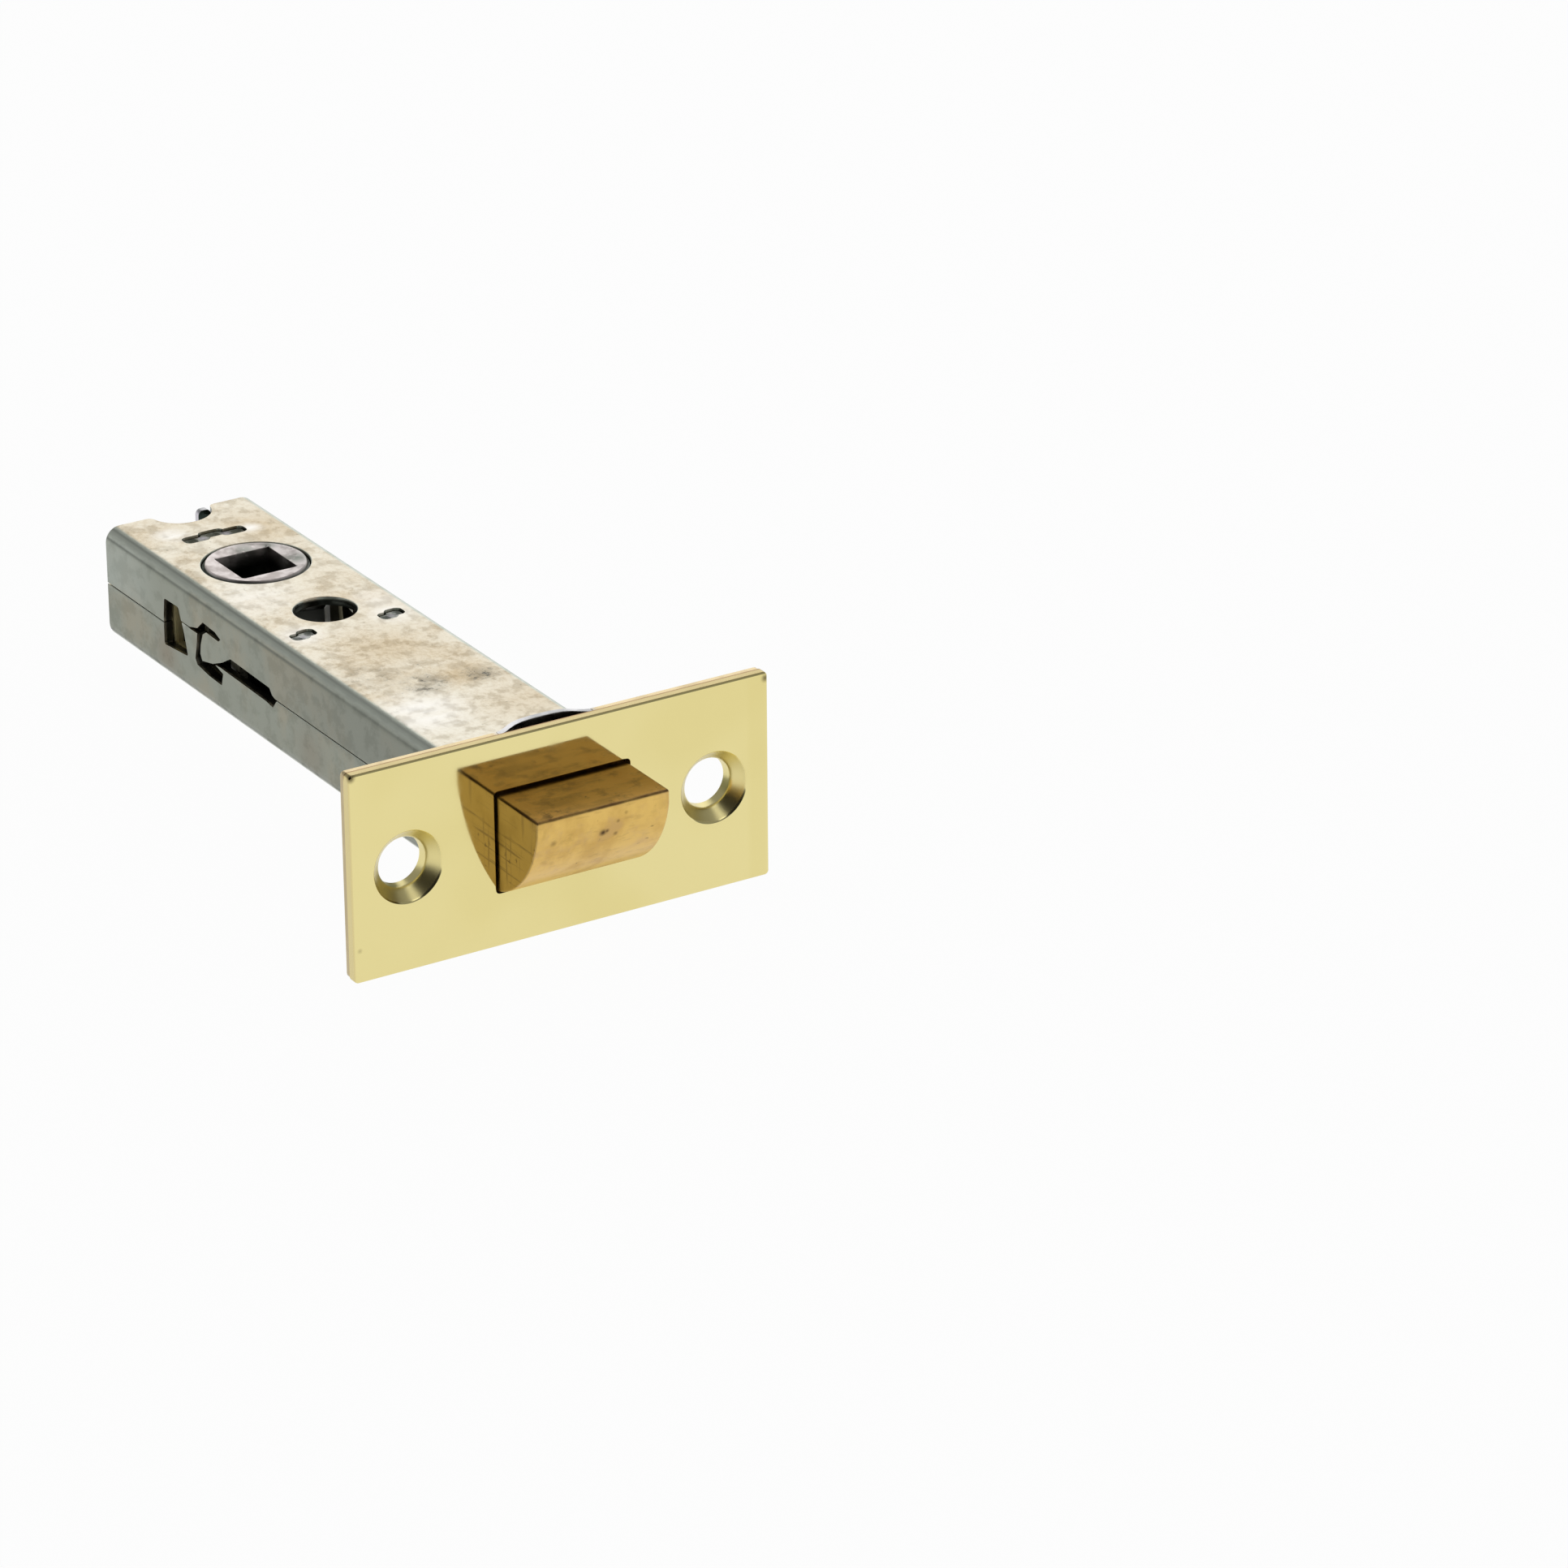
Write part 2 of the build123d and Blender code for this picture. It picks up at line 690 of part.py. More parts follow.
def make_follower():
    """The hub: two journals, two flanges, two ears and the square hole."""
    top = case_height / 2 + journal_proud
    shoulder = inner_half_height - flange_clearance
    hub = rod_z(journal_radius, -top, top)
    rims = hub.edges().filter_by(GeomType.CIRCLE)
    hub = fillet(rims, journal_round)
    for level in (-1, 1):
        z_low, z_high = sorted((level * (shoulder - flange_thickness), level * shoulder))
        hub += rod_z(flange_radius, z_low, z_high)
    ear = make_ear()
    hub += ear
    hub += mirror(ear, Plane.XZ)
    hub -= Box(spindle_square, spindle_square, 2 * case_height)
    return Pos(-backset, 0, 0) * hub


def export_all():
    """Writes each piece to its own file."""
    os.makedirs("parts", exist_ok=True)
    upper, lower = make_case()
    pieces = {
        "forend_plate": make_forend_plate(),
        "inner_forend": make_inner_forend(),
        "case_upper": upper,
        "case_lower": lower,
        "latch_bolt": make_latch_bolt(),
        "bolt_stem": make_bolt_stem(),
        "bolt_pin": make_bolt_pin(),
        "stem_washer": make_stem_washer(),
        "stem_clip": make_stem_clip(),
        "bolt_spring": make_bolt_spring(),
        "spring_cup": make_spring_cup(),
        "yoke": make_yoke(),
        "follower": make_follower(),
        "return_spring_left": make_return_spring(-1),
        "return_spring_right": make_return_spring(1),
        "spring_pin_left": make_spring_pin(-1),
        "spring_pin_right": make_spring_pin(1),
        "spring_seat": make_spring_seat(),
        "rear_stop": make_rear_stop(),
        "end_plate": make_end_plate(),
    }
    for name, piece in pieces.items():
        export_step(piece, f"parts/{name}.step")


export_all()
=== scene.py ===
"""Tubular door latch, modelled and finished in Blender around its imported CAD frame.

The frame is the latch's own: +X points out of the door edge, +Y runs along the forend
and +Z is the follower's axis. Sizes below are in millimetres, and MM turns them to metres.
"""

import math

import bpy
from bpy.props import FloatProperty, FloatVectorProperty, PointerProperty
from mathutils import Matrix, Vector


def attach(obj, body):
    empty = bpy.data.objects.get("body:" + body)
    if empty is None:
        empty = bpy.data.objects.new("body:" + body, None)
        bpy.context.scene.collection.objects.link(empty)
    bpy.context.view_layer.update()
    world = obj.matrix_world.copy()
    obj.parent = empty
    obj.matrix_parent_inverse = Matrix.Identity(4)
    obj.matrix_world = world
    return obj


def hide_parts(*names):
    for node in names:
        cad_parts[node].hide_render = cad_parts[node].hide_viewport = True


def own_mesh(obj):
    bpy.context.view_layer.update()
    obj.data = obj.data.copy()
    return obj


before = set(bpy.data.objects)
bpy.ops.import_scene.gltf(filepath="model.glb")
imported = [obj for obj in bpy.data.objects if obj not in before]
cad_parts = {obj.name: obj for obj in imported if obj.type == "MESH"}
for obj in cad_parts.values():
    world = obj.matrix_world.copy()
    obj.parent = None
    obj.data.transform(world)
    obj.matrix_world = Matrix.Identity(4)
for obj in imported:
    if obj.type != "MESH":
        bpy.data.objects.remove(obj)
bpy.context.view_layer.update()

bl_info = {
    "name": "Tubular Door Latch",
    "version": (1, 0, 0),
    "blender": (4, 5, 0),
    "location": "3D View > Sidebar > Door Latch",
    "description": "Builds the visible pieces and finishes of a tubular door latch",
    "category": "Object",
}

MM = 0.001
SIDES = (-1, 1)
TOUCH = 0.01  # how far a corner may lie from a plane that it belongs to

# Forend and the steel plate behind it
FOREND_Y = 30.0
FOREND_Z = 14.0
FOREND_THICKNESS = 1.4
FOREND_CORNER = 0.6
PLATE_MARGIN = 0.1
PLATE_THICKNESS = 1.0
PLATE_SOFT = 0.12
SCREW_PLACE = 22.0
SCREW_CLEAR = 3.3
DIMPLE_HOLE = 4.9
APERTURE_Y = 9.78
APERTURE_TOP = 7.0
APERTURE_FOOT = -6.8
APERTURE_CORNER = 0.55
APERTURE_SOFT = 0.12
STRIP_NEAR = 9.2
STRIP_FAR = 13.9
STRIP_SOFT = 0.14

# Case
CASE_REAR = -101.59
CASE_FRONT = -2.4
CASE_Y = 11.25
CASE_Z = 7.9
CASE_WALL = 1.2
CASE_BEND = 2.1
NOTCH_RADIUS = 4.3
NOTCH_MOUTH_ROUND = 0.9
HOLE_ROLL = 0.2
FOLLOWER_HOLE = 7.29
FIXING_HOLE = 4.2
CAD_REACH = 101.6  # from the forend's face to the end of the CAD's case
OUTSIDE = 9.5  # past both flats, for what cuts through them

# Places along the case
FOLLOWER_X = -80.0
FIXING_X = -61.0
SEAT_X = -55.0
SEAT_TAB_Y = 6.5
REAR_STOP_X = -92.0

# Plates across the inside of the case
CROSS_HALF = 0.6
CROSS_Y = 8.2
CROSS_Z = 6.65
STEM_WAY = 3.2
GUIDE_WAY = 1.37
GUIDE_Y = 5.7

# Squashed ends of the cross plates' tabs: rounded lobes in a row, ahead and behind by turns
LOBE_SPREAD = 2.1
LOBE_STAGGER = 0.3
LOBE_OVERLAP = 0.5
LOBE_CORNER = 0.7
TAB_ROOT = 6.0
TAB_TOP = 7.6
TAB_RIM = 0.2
TAB_GROW = -0.05
SLOT_GROW = 0.12
SLOT_REACH = 9.0
SEAT_TAB_WIDTH = 3.6
STOP_TAB_WIDTH = 9.0
SEAT_DENT = (0.7, 0.25)  # reach and depth
STOP_DENT = (0.95, 0.4)
SEAT_DENT_X = 0.4
SEAT_DENT_Y = 1.05
STOP_DENTS = ((-3.4, 0.25), (0.1, -0.2), (3.5, 0.25))  # across and ahead

# End plate
END_GAP = 0.2
END_THICKNESS = 0.9
END_Y = 10.0
END_CORNER = 0.8
END_SOFT = 0.1
RING_RADIUS = 5.25
RING_BORE = 4.35
LIP_Z = 7.78
LIP_CORNER = 0.75

# Follower
SQUARE_HALF = 4.05
EAR_Z = 2.6
EAR_LEAN = 60
HUB_SOFT = 0.1

# Bolt
BOLT_NOSE = 10.0
BOLT_REAR = -16.5
BOLT_Y = 9.5
BOLT_Z = 6.55
BOLT_EDGE = 0.35
SHOULDER_Y = 9.95
SHOULDER_FRONT = -2.65
SHOULDER_CORNER = 0.8

# Springs: coil radius, wire, working turns, rear seat and front seat
RETURN_SPRING = (2.2, 0.8, 9.5, -54.3, -33.2)
BOLT_SPRING = (4.1, 1.1, 7.5, -30.9, -8.6)


# Selecting and modelling helpers


def deselect():
    """Leaves edit mode and selects nothing."""
    if bpy.context.mode != "OBJECT":
        bpy.ops.object.mode_set(mode="OBJECT")
    bpy.ops.object.select_all(action="DESELECT")


def pick(obj):
    """Selects one object alone and makes it active."""
    deselect()
    obj.select_set(True)
    bpy.context.view_layer.objects.active = obj


def settle(obj):
    """Puts the object's place, turn and scale into its mesh."""
    pick(obj)
    bpy.ops.object.transform_apply(location=True, rotation=True, scale=True)
    return obj


def block(name, low, high):
    """A block between two corners."""
    deselect()
    centre = [(a + b) / 2 * MM for a, b in zip(low, high)]
    bpy.ops.mesh.primitive_cube_add(size=1, location=centre)
    obj = bpy.context.object
    obj.name = name
    obj.scale = [(b - a) * MM for a, b in zip(low, high)]
    return settle(obj)


def slab(name, rear, front, half_y, half_z, corner=0.0, segments=4):
    """A block evenly about the X axis, with its edges along X rounded by the corner."""
    form = block(name, (rear, -half_y, -half_z), (front, half_y, half_z))
    return round_edges(form, running("X"), corner, segments) if corner else form


def extrude(move):
    """Extrudes what is selected."""
    bpy.ops.mesh.extrude_region_move(TRANSFORM_OT_translate={"value": move})


def outward():
    """Turns every face of the mesh in edit mode outwards."""
    bpy.ops.mesh.select_all(action="SELECT")
    bpy.ops.mesh.normals_make_consistent(inside=False)


def turned(name, stations, axis="Z", place=(0, 0, 0), sides=96):
    """A disc extruded from station to station, each a distance and a radius, along Z or X."""
    deselect()
    along, radius = stations[0]
    bpy.ops.mesh.primitive_circle_add(
        vertices=sides, radius=radius * MM, fill_type="NGON", location=(0, 0, along * MM)
    )
    obj = bpy.context.object
    obj.name = name
    settle(obj)
    bpy.ops.object.mode_set(mode="EDIT")
    bpy.ops.mesh.select_mode(type="FACE")
    bpy.ops.mesh.select_all(action="SELECT")
    for (start, first), (end, second) in zip(stations, stations[1:]):
        extrude((0, 0, (end - start) * MM))
        grow = second / first
        bpy.ops.transform.resize(value=(grow, grow, 1), center_override=(0, 0, end * MM))
    outward()
    if axis == "X":
        obj.rotation_euler = (0, math.radians(90), 0)
    obj.location = [value * MM for value in place]
    return settle(obj)


def rod(name, radius, low, high, axis="Z", place=(0, 0, 0)):
    """A round bar along an axis."""
    return turned(name, [(low, radius), (high, radius)], axis, place)


def prism(name, outline, low, high, axis="Y"):
    """A flat outline extruded: (x, z) corners along Y, (x, y) along Z, or (y, z) along X."""
    deselect()
    bpy.ops.mesh.primitive_circle_add(vertices=len(outline), radius=MM, fill_type="NGON")
    obj = bpy.context.object
    obj.name = name
    place = "XYZ".index(axis)
    for vertex, corner in zip(obj.data.vertices, outline):
        values = list(corner)
        values.insert(place, low)
        vertex.co = [value * MM for value in values]
    move = [0, 0, 0]
    move[place] = (high - low) * MM
    bpy.ops.object.mode_set(mode="EDIT")
    bpy.ops.mesh.select_all(action="SELECT")
    extrude(move)
    outward()
    bpy.ops.object.mode_set(mode="OBJECT")
    return obj


def combine(obj, others, operation):
    """Booleans with other objects in turn, each of which is used up."""
    for other in others:
        pick(obj)
        modifier = obj.modifiers.new("combine", "BOOLEAN")
        modifier.operation = operation
        modifier.object = other
        modifier.solver = "EXACT"
        bpy.ops.object.modifier_apply(modifier=modifier.name)
        bpy.data.objects.remove(other)
    return obj


def cut(obj, *others):
    """Takes the other objects away from the first."""
    return combine(obj, others, "DIFFERENCE")


def add(obj, *others):
    """Joins the other objects to the first as one solid."""
    return combine(obj, others, "UNION")


def running(axis):
    """A test for the edges that run along an axis, out of a form whose others lie across it."""
    place = "XYZ".index(axis)
    return lambda a, b: abs(a[place] - b[place]) > 0.1


def round_edges(obj, chosen, width, segments=3):
    """Bevels the edges whose two end points pass the test, both given in millimetres."""
    pick(obj)
    bpy.ops.object.mode_set(mode="EDIT")
    bpy.ops.mesh.select_mode(type="EDGE")
    bpy.ops.mesh.select_all(action="DESELECT")
    bpy.ops.object.mode_set(mode="OBJECT")
    mesh = obj.data
    for edge in mesh.edges:
        ends = [mesh.vertices[index].co / MM for index in edge.vertices]
        edge.select = chosen(*ends)
    bpy.ops.object.mode_set(mode="EDIT")
    bpy.ops.mesh.bevel(
        offset=width * MM, segments=segments, profile=0.5, affect="EDGES", clamp_overlap=True
    )
    bpy.ops.object.mode_set(mode="OBJECT")
    return obj


def soften(obj, width):
    """A small bevel on every sharp edge, applied."""
    pick(obj)
    modifier = obj.modifiers.new("soft_edges", "BEVEL")
    modifier.width = width * MM
    modifier.segments = 2
    modifier.limit_method = "ANGLE"
    modifier.angle_limit = math.radians(35)
    modifier.use_clamp_overlap = True
    bpy.ops.object.modifier_apply(modifier=modifier.name)
    return obj


def shade(obj, angle=32):
    """Smooth shading that keeps edges sharper than the angle, with flat faces kept flat."""
    pick(obj)
    bpy.ops.object.shade_smooth_by_angle(angle=math.radians(angle))
    modifier = obj.modifiers.new("flat_faces", "WEIGHTED_NORMAL")
    modifier.keep_sharp = True
    modifier.weight = 100
    bpy.ops.object.modifier_apply(modifier=modifier.name)


def dress(obj, name, finish, slot, body, *nodes):
    """Names a finished piece, gives it its material, and puts it in place of its CAD nodes."""
    obj.name = name
    obj.data.name = name
    obj.data.materials.clear()
    obj.data.materials.append(finish_named(finish))
    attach(obj, body)
    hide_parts(*nodes)


# Material helpers


def opaque(colour):
    """A colour with full alpha; a socket stays as it is."""
    return (*colour, 1.0) if isinstance(colour, tuple) else colour


def tinted(colour, shares):
    """A colour with each channel multiplied by its share."""
    return tuple(value * share for value, share in zip(colour, shares))


class Nodes:
    """The nodes of a material or a world, with short calls for what they share."""

    def __init__(self, owner, empty=False):
        owner.use_nodes = True
        self.tree = owner.node_tree
        if empty:
            self.tree.nodes.clear()

    def new(self, kind, inputs=None, **values):
        """Outputs of a new node; each input is linked to a socket or given a value."""
        node = self.tree.nodes.new("ShaderNode" + kind)
        for key, value in values.items():
            setattr(node, key, value)
        for key, value in (inputs or {}).items():
            if isinstance(value, bpy.types.NodeSocket):
                self.tree.links.new(value, node.inputs[key])
            else:
                node.inputs[key].default_value = value
        return node.outputs

    def ramp(self, source, low=0.0, high=1.0, start=0.0, end=1.0):
        """Spreads a value between low and high over start to end, smoothly."""
        inputs = {"Value": source, "From Min": low, "From Max": high}
        inputs.update({"To Min": start, "To Max": end})
        return self.new("MapRange", inputs, interpolation_type="SMOOTHSTEP")["Result"]

    def math(self, operation, *values):
        """Calculates with values, each a socket or a number."""
        return self.new("Math", dict(enumerate(values)), operation=operation)["Value"]

    def times(self, first, *others):
        """Values multiplied with each other."""
        for other in others:
            first = self.math("MULTIPLY", first, other)
        return first

    def choose(self, share, first, second):
        """Mixes two shaders by a socket."""
        return self.new("MixShader", {"Fac": share, 1: first, 2: second})[0]


class Finish(Nodes):
    """The nodes of one metal and its colour so far."""

    def __init__(self, name, colour):
        self.material = bpy.data.materials.new(name)
        super().__init__(self.material)
        self.shader = self.tree.nodes["Principled BSDF"]
        self.place = self.new("TexCoord")
        self.colour = tuple(colour)

    def coat(self, colour, *amounts):
        """Mixes a colour over the one so far, by one amount or several multiplied."""
        inputs = {0: self.times(*amounts), 6: opaque(self.colour), 7: opaque(colour)}
        self.colour = self.new("Mix", inputs, data_type="RGBA")[2]

    def mapped(self, scale=(1, 1, 1), turn=0, axis=2, move=(0, 0, 0)):
        """Object coordinates, stretched, moved, or turned by degrees about one axis."""
        turns = [0, 0, 0]
        turns[axis] = math.radians(turn)
        inputs = {"Location": move, "Rotation": turns, "Scale": scale}
        inputs["Vector"] = self.place["Object"]
        return self.new("Mapping", inputs)["Vector"]

    def noise(self, scale, detail=4.0, roughness=0.55, vector=None):
        """Noise, its scale in waves a metre."""
        inputs = {"Scale": scale, "Detail": detail, "Roughness": roughness}
        inputs["Vector"] = vector or self.place["Object"]
        return self.new("TexNoise", inputs)["Fac"]

    def cloud(self, noise, low=0.38, high=0.66, start=0.0, end=1.0):
        """Patches: noise, given as its scale, detail, roughness and vector, put on a ramp."""
        return self.ramp(self.noise(*noise), low, high, start, end)

    def most(self, first, second):
        """The larger of two values."""
        return self.math("MAXIMUM", first, second)

    def spot(self, centre, reach):
        """One at a point given in millimetres, falling to none at its reach."""
        inputs = {0: self.place["Object"], 1: [value * MM for value in centre]}
        away = self.new("VectorMath", inputs, operation="DISTANCE")["Value"]
        return self.ramp(away, 0.0, reach * MM, 1.0, 0.0)

    def spots(self, marks):
        """Several spots at once, each x, y, z and reach in millimetres and a strength."""
        total = None
        for *centre, reach, strength in marks:
            one = self.times(self.spot(centre, reach), strength)
            total = one if total is None else self.most(total, one)
        return total

    def part(self, source, axis):
        """One part of an output of the coordinates."""
        return self.new("SeparateXYZ", {"Vector": self.place[source]})[axis]

    def along(self, axis):
        """The place along one axis, in millimetres."""
        return self.times(self.part("Object", axis), 1 / MM)

    def past(self, axis, low, high, start=0.0, end=1.0):
        """A ramp between two places along one axis, in millimetres."""
        return self.ramp(self.along(axis), low, high, start, end)

    def apart(self, value, centre):
        """The distance of a value from a centre."""
        return self.math("ABSOLUTE", self.math("SUBTRACT", value, centre))

    def off(self, axis, low, high, middle=0.0):
        """A ramp between two distances from a level on one axis, in millimetres."""
        return self.ramp(self.apart(self.along(axis), middle), low, high)

    def line(self, value, centre, width):
        """One where a value is at the centre, falling to none at the width to both sides."""
        return self.ramp(self.apart(value, centre), 0.0, width, 1.0, 0.0)

    def looks(self, axis, low, high):
        """A ramp on how much the surface looks along one axis, with its sign."""
        return self.ramp(self.part("Normal", axis), low, high)

    def bump(self, height, strength, distance=0.03):
        """Bump from a height, its distance in millimetres."""
        inputs = {"Strength": strength, "Distance": distance * MM, "Height": height}
        self.tree.links.new(self.new("Bump", inputs)["Normal"], self.shader.inputs["Normal"])

    def metal(self, roughness, metallic=1.0):
        """Gives the shader the colour so far, a roughness and a share of metal."""
        self.shader.inputs["Metallic"].default_value = metallic
        self.tree.links.new(self.colour, self.shader.inputs["Base Color"])
        self.tree.links.new(roughness, self.shader.inputs["Roughness"])
        return self.material


# Finishes. A mark is x, y, z and reach in millimetres, and a strength.


FOREND_NICKS = (
    (0, -29.7, 13.7, 0.9, 0.9),
    (0, 29.6, 13.2, 0.8, 0.8),
    (0, -29.2, -9.6, 0.5, 0.3),
)
BOLT_SMUDGES = (
    (9.0, -6.3, BOLT_Z, 3.2, 1.0),
    (8.0, 2.0, BOLT_Z, 5.0, 0.6),
    (3.0, 6.0, BOLT_Z, 3.0, 0.4),
)
BOLT_PITS = (
    (9.53, 0.1, 2.82, 0.75, 1.0),
    (9.53, 0.65, 2.95, 0.5, 0.8),
    (9.75, 2.1, 4.1, 0.4, 0.7),
    (9.3, 2.0, 2.2, 0.5, 0.55),
    (9.6, -7.0, 3.1, 0.7, 0.45),
    (9.9, 3.2, 5.0, 0.4, 0.4),
)
CASE_STAINS = (
    (-46, 1, CASE_Z, 15, 0.55),
    (-36, -3, CASE_Z, 9, 0.55),
    (-33, 5, CASE_Z, 8, 0.75),
    (-21, 7, CASE_Z, 12, 0.65),
    (-70, 6, CASE_Z, 10, 0.3),
    (-91, 8, CASE_Z, 12, 0.8),
    (-97, -4, CASE_Z, 5, 0.35),
)
# Near-white streaky places: partly rubbed bright round the staked tabs, partly painted highlight,
# as the first, ahead by the left fold.
CASE_SCOURS_AND_GLINTS = (
    (-24.5, -6.0, CASE_Z, 9, 1.0),
    (-55, 6.6, CASE_Z, 4.5, 1.0),
    (-55, -6.6, CASE_Z, 4.5, 1.0),
    (-94.5, -5.0, CASE_Z, 3.6, 1.0),
    (-91.3, 5.2, CASE_Z, 2.6, 1.0),
    (-70, -6, CASE_Z, 9, 0.55),
    (-60, 7.5, CASE_Z, 6, 0.5),
)
CASE_SPECKS = (
    (-32.6, -1.0, CASE_Z, 4.6, 1.0),
    (-31.6, 6.4, CASE_Z, 3.6, 1.0),
    (-38, -6, CASE_Z, 6, 0.35),
)
FLANK_STAINS = ((-85, -CASE_Y, -4.2, 5, 0.6), (-45, -CASE_Y, -4, 6, 0.4))
# A pool of painted light on the inside of the right wall, seen through the fixing hole.
PAINTED_INNER_LIGHT = ((-70.0, 10.05, 2.4, 4.0, 1.0),)
# Grey-green patches by the edges of the square hole.
HUB_DARK_PATCHES = ((-84.6, 0.8, 8, 3.0, 0.8), (-84.2, 4.2, 8, 1.6, 0.8), (-78.4, 5.2, 8, 2.6, 0.9))
# A spot on the yoke kept bright: painted light.
YOKE_LIT_SPOT = ((-70.3, 8.6, 2.3, 2.4, 0.5),)
# Pale lavender spots on the ridges of the staked tabs: painted highlight.
TAB_RIDGE_HIGHLIGHTS = (
    (-92, -1.6, TAB_TOP, 1.1, 1.0),
    (-92, 1.9, TAB_TOP, 1.1, 1.0),
    (-55, 6.5, TAB_TOP, 1.0, 0.8),
    (-55, -6.5, TAB_TOP, 1.0, 0.8),
    (-55.3, 7.4, TAB_TOP, 0.7, 0.6),
    (-55.3, -5.6, TAB_TOP, 0.7, 0.6),
)


def polished_brass():
    """Lacquered pale brass: a near mirror with a faint band, brown rims and a few dark nicks."""
    own = settings()
    n = Finish("polished_brass", own.brass_colour)
    deep = tinted(own.brass_colour, (0.93, 0.91, 0.80))
    n.coat(deep, n.cloud((45, 2), 0.42), 0.45)
    n.coat(deep, n.past("Y", 26.6, 27.6), n.past("Y", 30.0, 29.2), 0.35)
    crest = n.past("Z", 12.8, 13.5)
    n.coat((0.50, 0.36, 0.17), n.looks("Z", 0.55, 0.9), crest, 0.5)
    n.coat((0.36, 0.19, 0.08), n.line(n.along("X"), -FOREND_THICKNESS, 0.4), crest, 0.9)
    n.coat((0.60, 0.46, 0.24), n.looks("Y", -0.4, -0.9), n.past("Y", -28.8, -29.5), 0.35)
    # The nicks are real marks; the back face, turned to the steel plate, is painted shade.
    n.coat((0.10, 0.07, 0.03), n.most(n.spots(FOREND_NICKS), n.looks("X", -0.6, -0.9)))
    low = own.brass_roughness
    haze = n.cloud((220, 5), 0.35, 0.7, low, low + 0.05)
    haze = n.math("ADD", haze, n.past("X", -0.02, -0.35, 0.0, 0.24))
    lines = n.noise(900, 3, 0.6, n.mapped((0.25, 0.05, 1.0)))
    n.bump(n.math("ADD", n.times(lines, 0.3), n.noise(60, 2)), 0.04, 0.05)
    return n.metal(haze)


def sawn_brass():
    """Bare extruded brass: a side scored both ways, smudges, pits, painted shade and painted
    highlights.
    """
    own = settings()
    base, dark = own.bolt_colour, (0.09, 0.05, 0.02)
    n = Finish("sawn_brass", base)
    brown = tinted(base, (0.66, 0.58, 0.50))
    patches = n.cloud((190, 5, 0.6), 0.42, 0.68)
    n.coat(brown, patches, 0.4)
    # The side that looks toward -Y is painted darker: painted shade. The scoring on it is real.
    flank = n.looks("Y", -0.35, -0.85)
    n.coat(tinted(base, (0.55, 0.55, 0.55)), flank)
    lengthwise = n.noise(900, 4, 0.6, n.mapped((0.10, 0.4, 1.9), 4, axis=1))
    upright = n.noise(900, 4, 0.6, n.mapped((1.9, 0.4, 0.12), -3, axis=1))
    scored = n.most(n.ramp(lengthwise, 0.56, 0.68), n.ramp(upright, 0.56, 0.68))
    n.coat(dark, scored, n.math("MULTIPLY_ADD", flank, 0.42, 0.13))
    top = n.looks("Z", 0.6, 0.95)
    n.coat(tinted(base, (1.06, 0.90, 0.80)), top, 0.8)
    brushed = n.noise(420, 6, 0.66, n.mapped((1.0, 0.3, 1.0), 8))
    n.coat(brown, n.ramp(brushed, 0.46, 0.64), top, 0.65)
    # Bright orange streaks along the brushing on the top: painted highlight.
    n.coat((0.92, 0.62, 0.22), n.ramp(brushed, 0.42, 0.34, 0.0, 0.5), top)
    n.coat((0.60, 0.39, 0.19), n.looks("X", 0.2, 0.5), n.cloud((240, 5, 0.62), 0.48), 0.4)
    # A dark clouded band on the top where the bolt leaves the forend: painted shade.
    shade_at_forend = n.cloud((150, 3), 0.3, 0.6, 0.35, 0.8)
    n.coat(dark, n.line(n.along("X"), 0.0, 1.1), shade_at_forend, top)
    smudge = n.times(n.cloud((330, 5, 0.65), 0.50, 0.62), top)
    n.coat(dark, smudge, n.most(n.spots(BOLT_SMUDGES), 0.35), 0.8)
    # Dark brown lines along the rounded top edges and the nose's edge: painted shade, the dark
    # reflection of the rounds.
    side_edge = n.times(n.off("Y", 9.05, 9.3), n.past("Z", 6.1, 6.4))
    nose_edge = n.times(n.past("X", 9.45, 9.8), n.line(n.along("Z"), 6.45, 0.35))
    edge_shade_share = n.cloud((420, 3), 0.3, 0.6, 0.45, 0.85)
    n.coat((0.16, 0.085, 0.04), n.most(side_edge, nose_edge), edge_shade_share)
    specks = n.cloud((900, 2, 0.5), 0.70, 0.78)
    n.coat(dark, n.most(n.times(specks, 0.6), n.spots(BOLT_PITS)))
    n.bump(n.math("SUBTRACT", n.noise(1500, 4), n.times(scored, 0.8)), 0.25)
    return n.metal(n.ramp(patches, start=own.bolt_roughness, end=own.bolt_roughness + 0.12))


